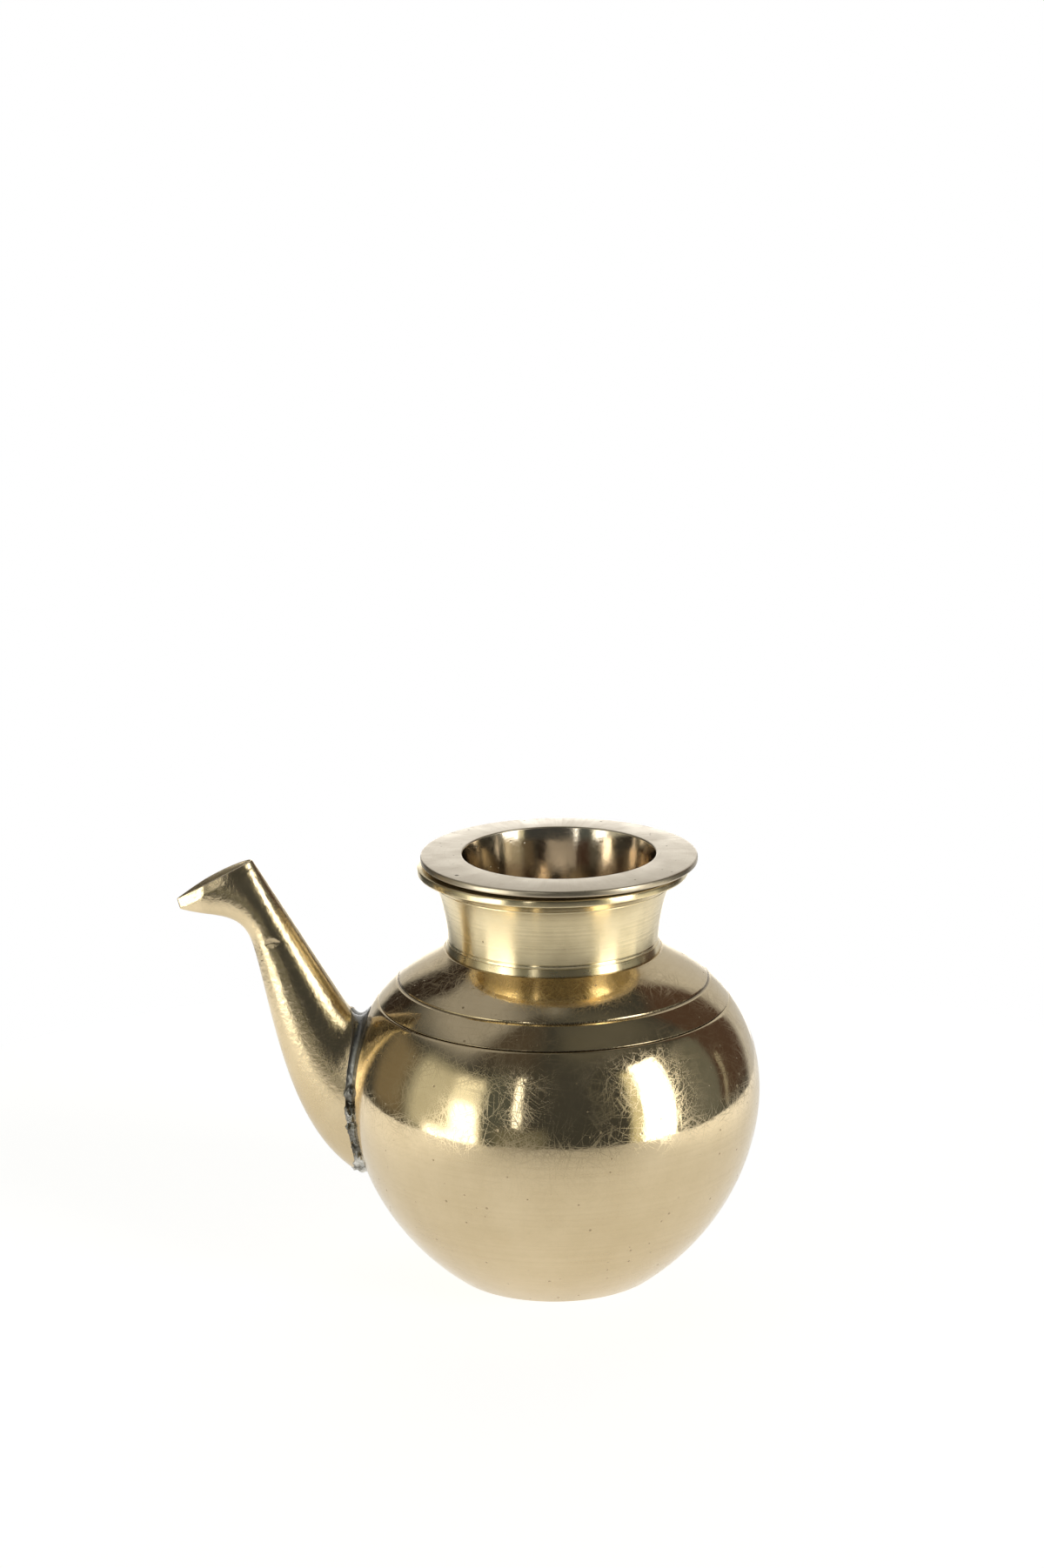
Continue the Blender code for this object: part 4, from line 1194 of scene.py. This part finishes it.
# Soft light panels around the pot: (from azimuth, to azimuth, from elevation, to elevation, edge
# softness, colour). Degrees. Azimuth 0 is towards the camera and grows to the right. Each panel lies
# over those before it.
PANELS = (
    (-200.0, 200.0, 85.0, 110.0, 5.0, (0.26, 0.26, 0.25)),
    (-62.0, -15.0, 42.0, 78.0, 14.0, (0.10, 0.085, 0.07)),
    (-142.0, -60.0, 38.0, 78.0, 12.0, (0.44, 0.44, 0.44)),
    (10.0, 95.0, 46.0, 78.0, 14.0, (0.13, 0.13, 0.115)),
    (-42.0, -24.0, -14.0, 34.0, 6.0, (0.11, 0.125, 0.115)),
    (-34.0, -5.0, -16.0, -3.0, 4.0, (0.20, 0.20, 0.16)),
    (70.0, 106.0, -14.0, 34.0, 6.0, (0.18, 0.19, 0.175)),
    (64.0, 100.0, -30.0, -15.0, 2.0, (1.5, 1.47, 1.25)),
    (104.0, 140.0, -10.0, 52.0, 3.0, (0.10, 0.065, 0.05)),
    (108.0, 111.5, -12.0, 12.0, 1.5, (0.40, 0.38, 0.32)),
    (-118.0, -92.0, -12.0, 24.0, 6.0, (0.26, 0.22, 0.15)),
    (-88.0, -56.0, -14.0, 28.0, 7.0, (0.72, 0.72, 0.60)),
    (-60.0, -42.0, -20.0, 27.0, 4.0, (1.4, 1.4, 1.2)),
    (-58.0, -45.0, -20.0, 8.0, 5.0, (4.5, 4.5, 4.3)),
    (-76.0, -46.0, -26.0, -10.0, 4.0, (4.0, 4.0, 3.8)),
    (-23.0, -19.0, -2.0, 35.0, 0.8, (3.0, 3.0, 2.9)),
    (42.0, 52.0, -16.0, 33.0, 2.5, (0.95, 0.92, 0.66)),
    (49.5, 69.5, -16.0, 36.0, 1.5, (5.0, 5.0, 4.8)),
)
# The white backdrop and its low glow, with azimuths from 0 to 360, and a dark panel beside its left
BACKDROP = (
    (138.0, 210.0, -90.0, 70.0, 4.0, (0.70, 0.70, 0.69)),
    (166.0, 194.0, -60.0, 13.0, 6.0, (2.9, 2.9, 2.87)),
)
DARK_PANEL = (-150.0, -131.0, 8.0, 46.0, 3.0, (0.04, 0.03, 0.024))
SURROUND_COLOUR = (0.065, 0.068, 0.066)
PANEL_SOCKETS = ("Left", "Right", "Low", "High", "Soft")


def panel_group():
    """Mask of a soft-edged panel: smooth steps in and out over azimuth and elevation, multiplied."""
    group, given, out = new_group("soft panel", ("Azimuth", "Elevation", *PANEL_SOCKETS), "Mask")

    def step(value, edge):
        """0 before an edge and 1 after it, with a smooth rise over its softness."""
        low = maths(group, "SUBTRACT", edge, given["Soft"])
        return remap(group, value, low, maths(group, "ADD", edge, given["Soft"]), smooth=True)

    mask = 1.0
    for direction, low, high in (("Azimuth", "Left", "Right"), ("Elevation", "Low", "High")):
        value = given[direction]
        within_edges = maths(group, "SUBTRACT", step(value, given[low]), step(value, given[high]))
        mask = maths(group, "MULTIPLY", mask, within_edges)
    put(group, mask, out)
    return group


def place_panel(tree, group, azimuth, elevation, panel, under):
    """Lay one panel of light over what is already in the studio."""
    *edges, colour = panel
    values = {"Azimuth": azimuth, "Elevation": elevation, **dict(zip(PANEL_SOCKETS, edges))}
    return blend(tree, place_group(tree, group, values), under, colour)


def make_studio():
    """Studio light: white backdrop behind, dark surround in front with soft panels, white to the camera."""
    world = bpy.data.worlds.new("studio")
    bpy.context.scene.world = world
    world.use_nodes = True
    tree = world.node_tree
    tree.nodes.clear()
    group = panel_group()
    looked = add_node(tree, "ShaderNodeTexCoord").outputs["Generated"]
    x, y, z = add_node(tree, "ShaderNodeSeparateXYZ", {0: looked}).outputs
    in_degrees = math.degrees(1.0)
    turn = maths(tree, "ARCTAN2", x, maths(tree, "MULTIPLY", y, -1.0))
    front = maths(tree, "MULTIPLY", turn, in_degrees)
    behind = maths(tree, "MULTIPLY_ADD", maths(tree, "LESS_THAN", front, 0.0), FULL_TURN_DEGREES, front)
    elevation = maths(tree, "MULTIPLY", maths(tree, "ARCSINE", z), in_degrees)
    laid = [(front, panel) for panel in PANELS]
    laid += [(behind, panel) for panel in BACKDROP]
    laid += [(front, DARK_PANEL)]
    colour = SURROUND_COLOUR
    for azimuth, panel in laid:
        colour = place_panel(tree, group, azimuth, elevation, panel, colour)
    studio = add_node(tree, "ShaderNodeBackground", {"Color": colour, "Strength": 1.0})
    white = add_node(tree, "ShaderNodeBackground", {"Color": opaque(WHITE), "Strength": 1.0})
    camera_ray = add_node(tree, "ShaderNodeLightPath").outputs["Is Camera Ray"]
    shown = add_node(tree, "ShaderNodeMixShader", {0: camera_ray, 1: studio.outputs[0], 2: white.outputs[0]})
    add_node(tree, "ShaderNodeOutputWorld", {"Surface": shown.outputs[0]})


def make_camera():
    """The camera at the photograph's angle."""
    data = bpy.data.cameras.new("camera")
    data.lens = CAMERA_LENS
    camera = bpy.data.objects.new("camera", data)
    bpy.context.scene.collection.objects.link(camera)
    tilt = Matrix.Rotation(math.radians(90.0 - CAMERA_DOWN), 4, "X")
    roll = Matrix.Rotation(math.radians(CAMERA_ROLL), 4, "Z")
    camera.matrix_world = Matrix.Translation(CAMERA_PLACE) @ tilt @ roll
    bpy.context.scene.camera = camera


def make_finishes():
    """The material of every slot."""
    groups = {
        "hairlines": hairline_group(),
        "turning": turning_group(),
        "pits": pit_group(),
        "tarnish": tarnish_group(),
    }
    return {
        "belly_brass": brass("belly_brass_worn", groups, POLISHED),
        "neck_brass": brass("neck_brass_brushed", groups, NECK_LOOK),
        "insert_brass": brass("insert_brass_matt", groups, INSERT_LOOK),
        "spout_brass": brass("spout_brass_worn", groups, SPOUT_LOOK),
        "braze": brass("braze_dull", groups, BRAZE_LOOK),
        "solder": solder_metal(groups),
    }


# Every piece: what makes it, the solid that it stands for, its body and its material slot
PIECES = (
    (make_belly_bowl, "belly_bowl", "pot", "belly_brass"),
    (make_belly_shoulder, "belly_shoulder", "pot", "belly_brass"),
    (make_belly_seam, "belly_seam", "pot", "braze"),
    (make_neck_collar, "neck_collar", "pot", "neck_brass"),
    (make_neck_seam, "neck_seam", "pot", "braze"),
    (make_mouth_insert, "mouth_insert", "insert", "insert_brass"),
    (make_spout, "spout", "pot", "spout_brass"),
    (make_spout_solder, "spout_solder", "pot", "solder"),
)


def main():
    """Make the stage, the finishes and every piece."""
    bpy.context.scene.view_settings.view_transform = "Standard"
    make_camera()
    make_studio()
    make_table()
    finishes = make_finishes()
    for make, node, body, slot in PIECES:
        finish_piece(make(), node, body, finishes[slot])


main()
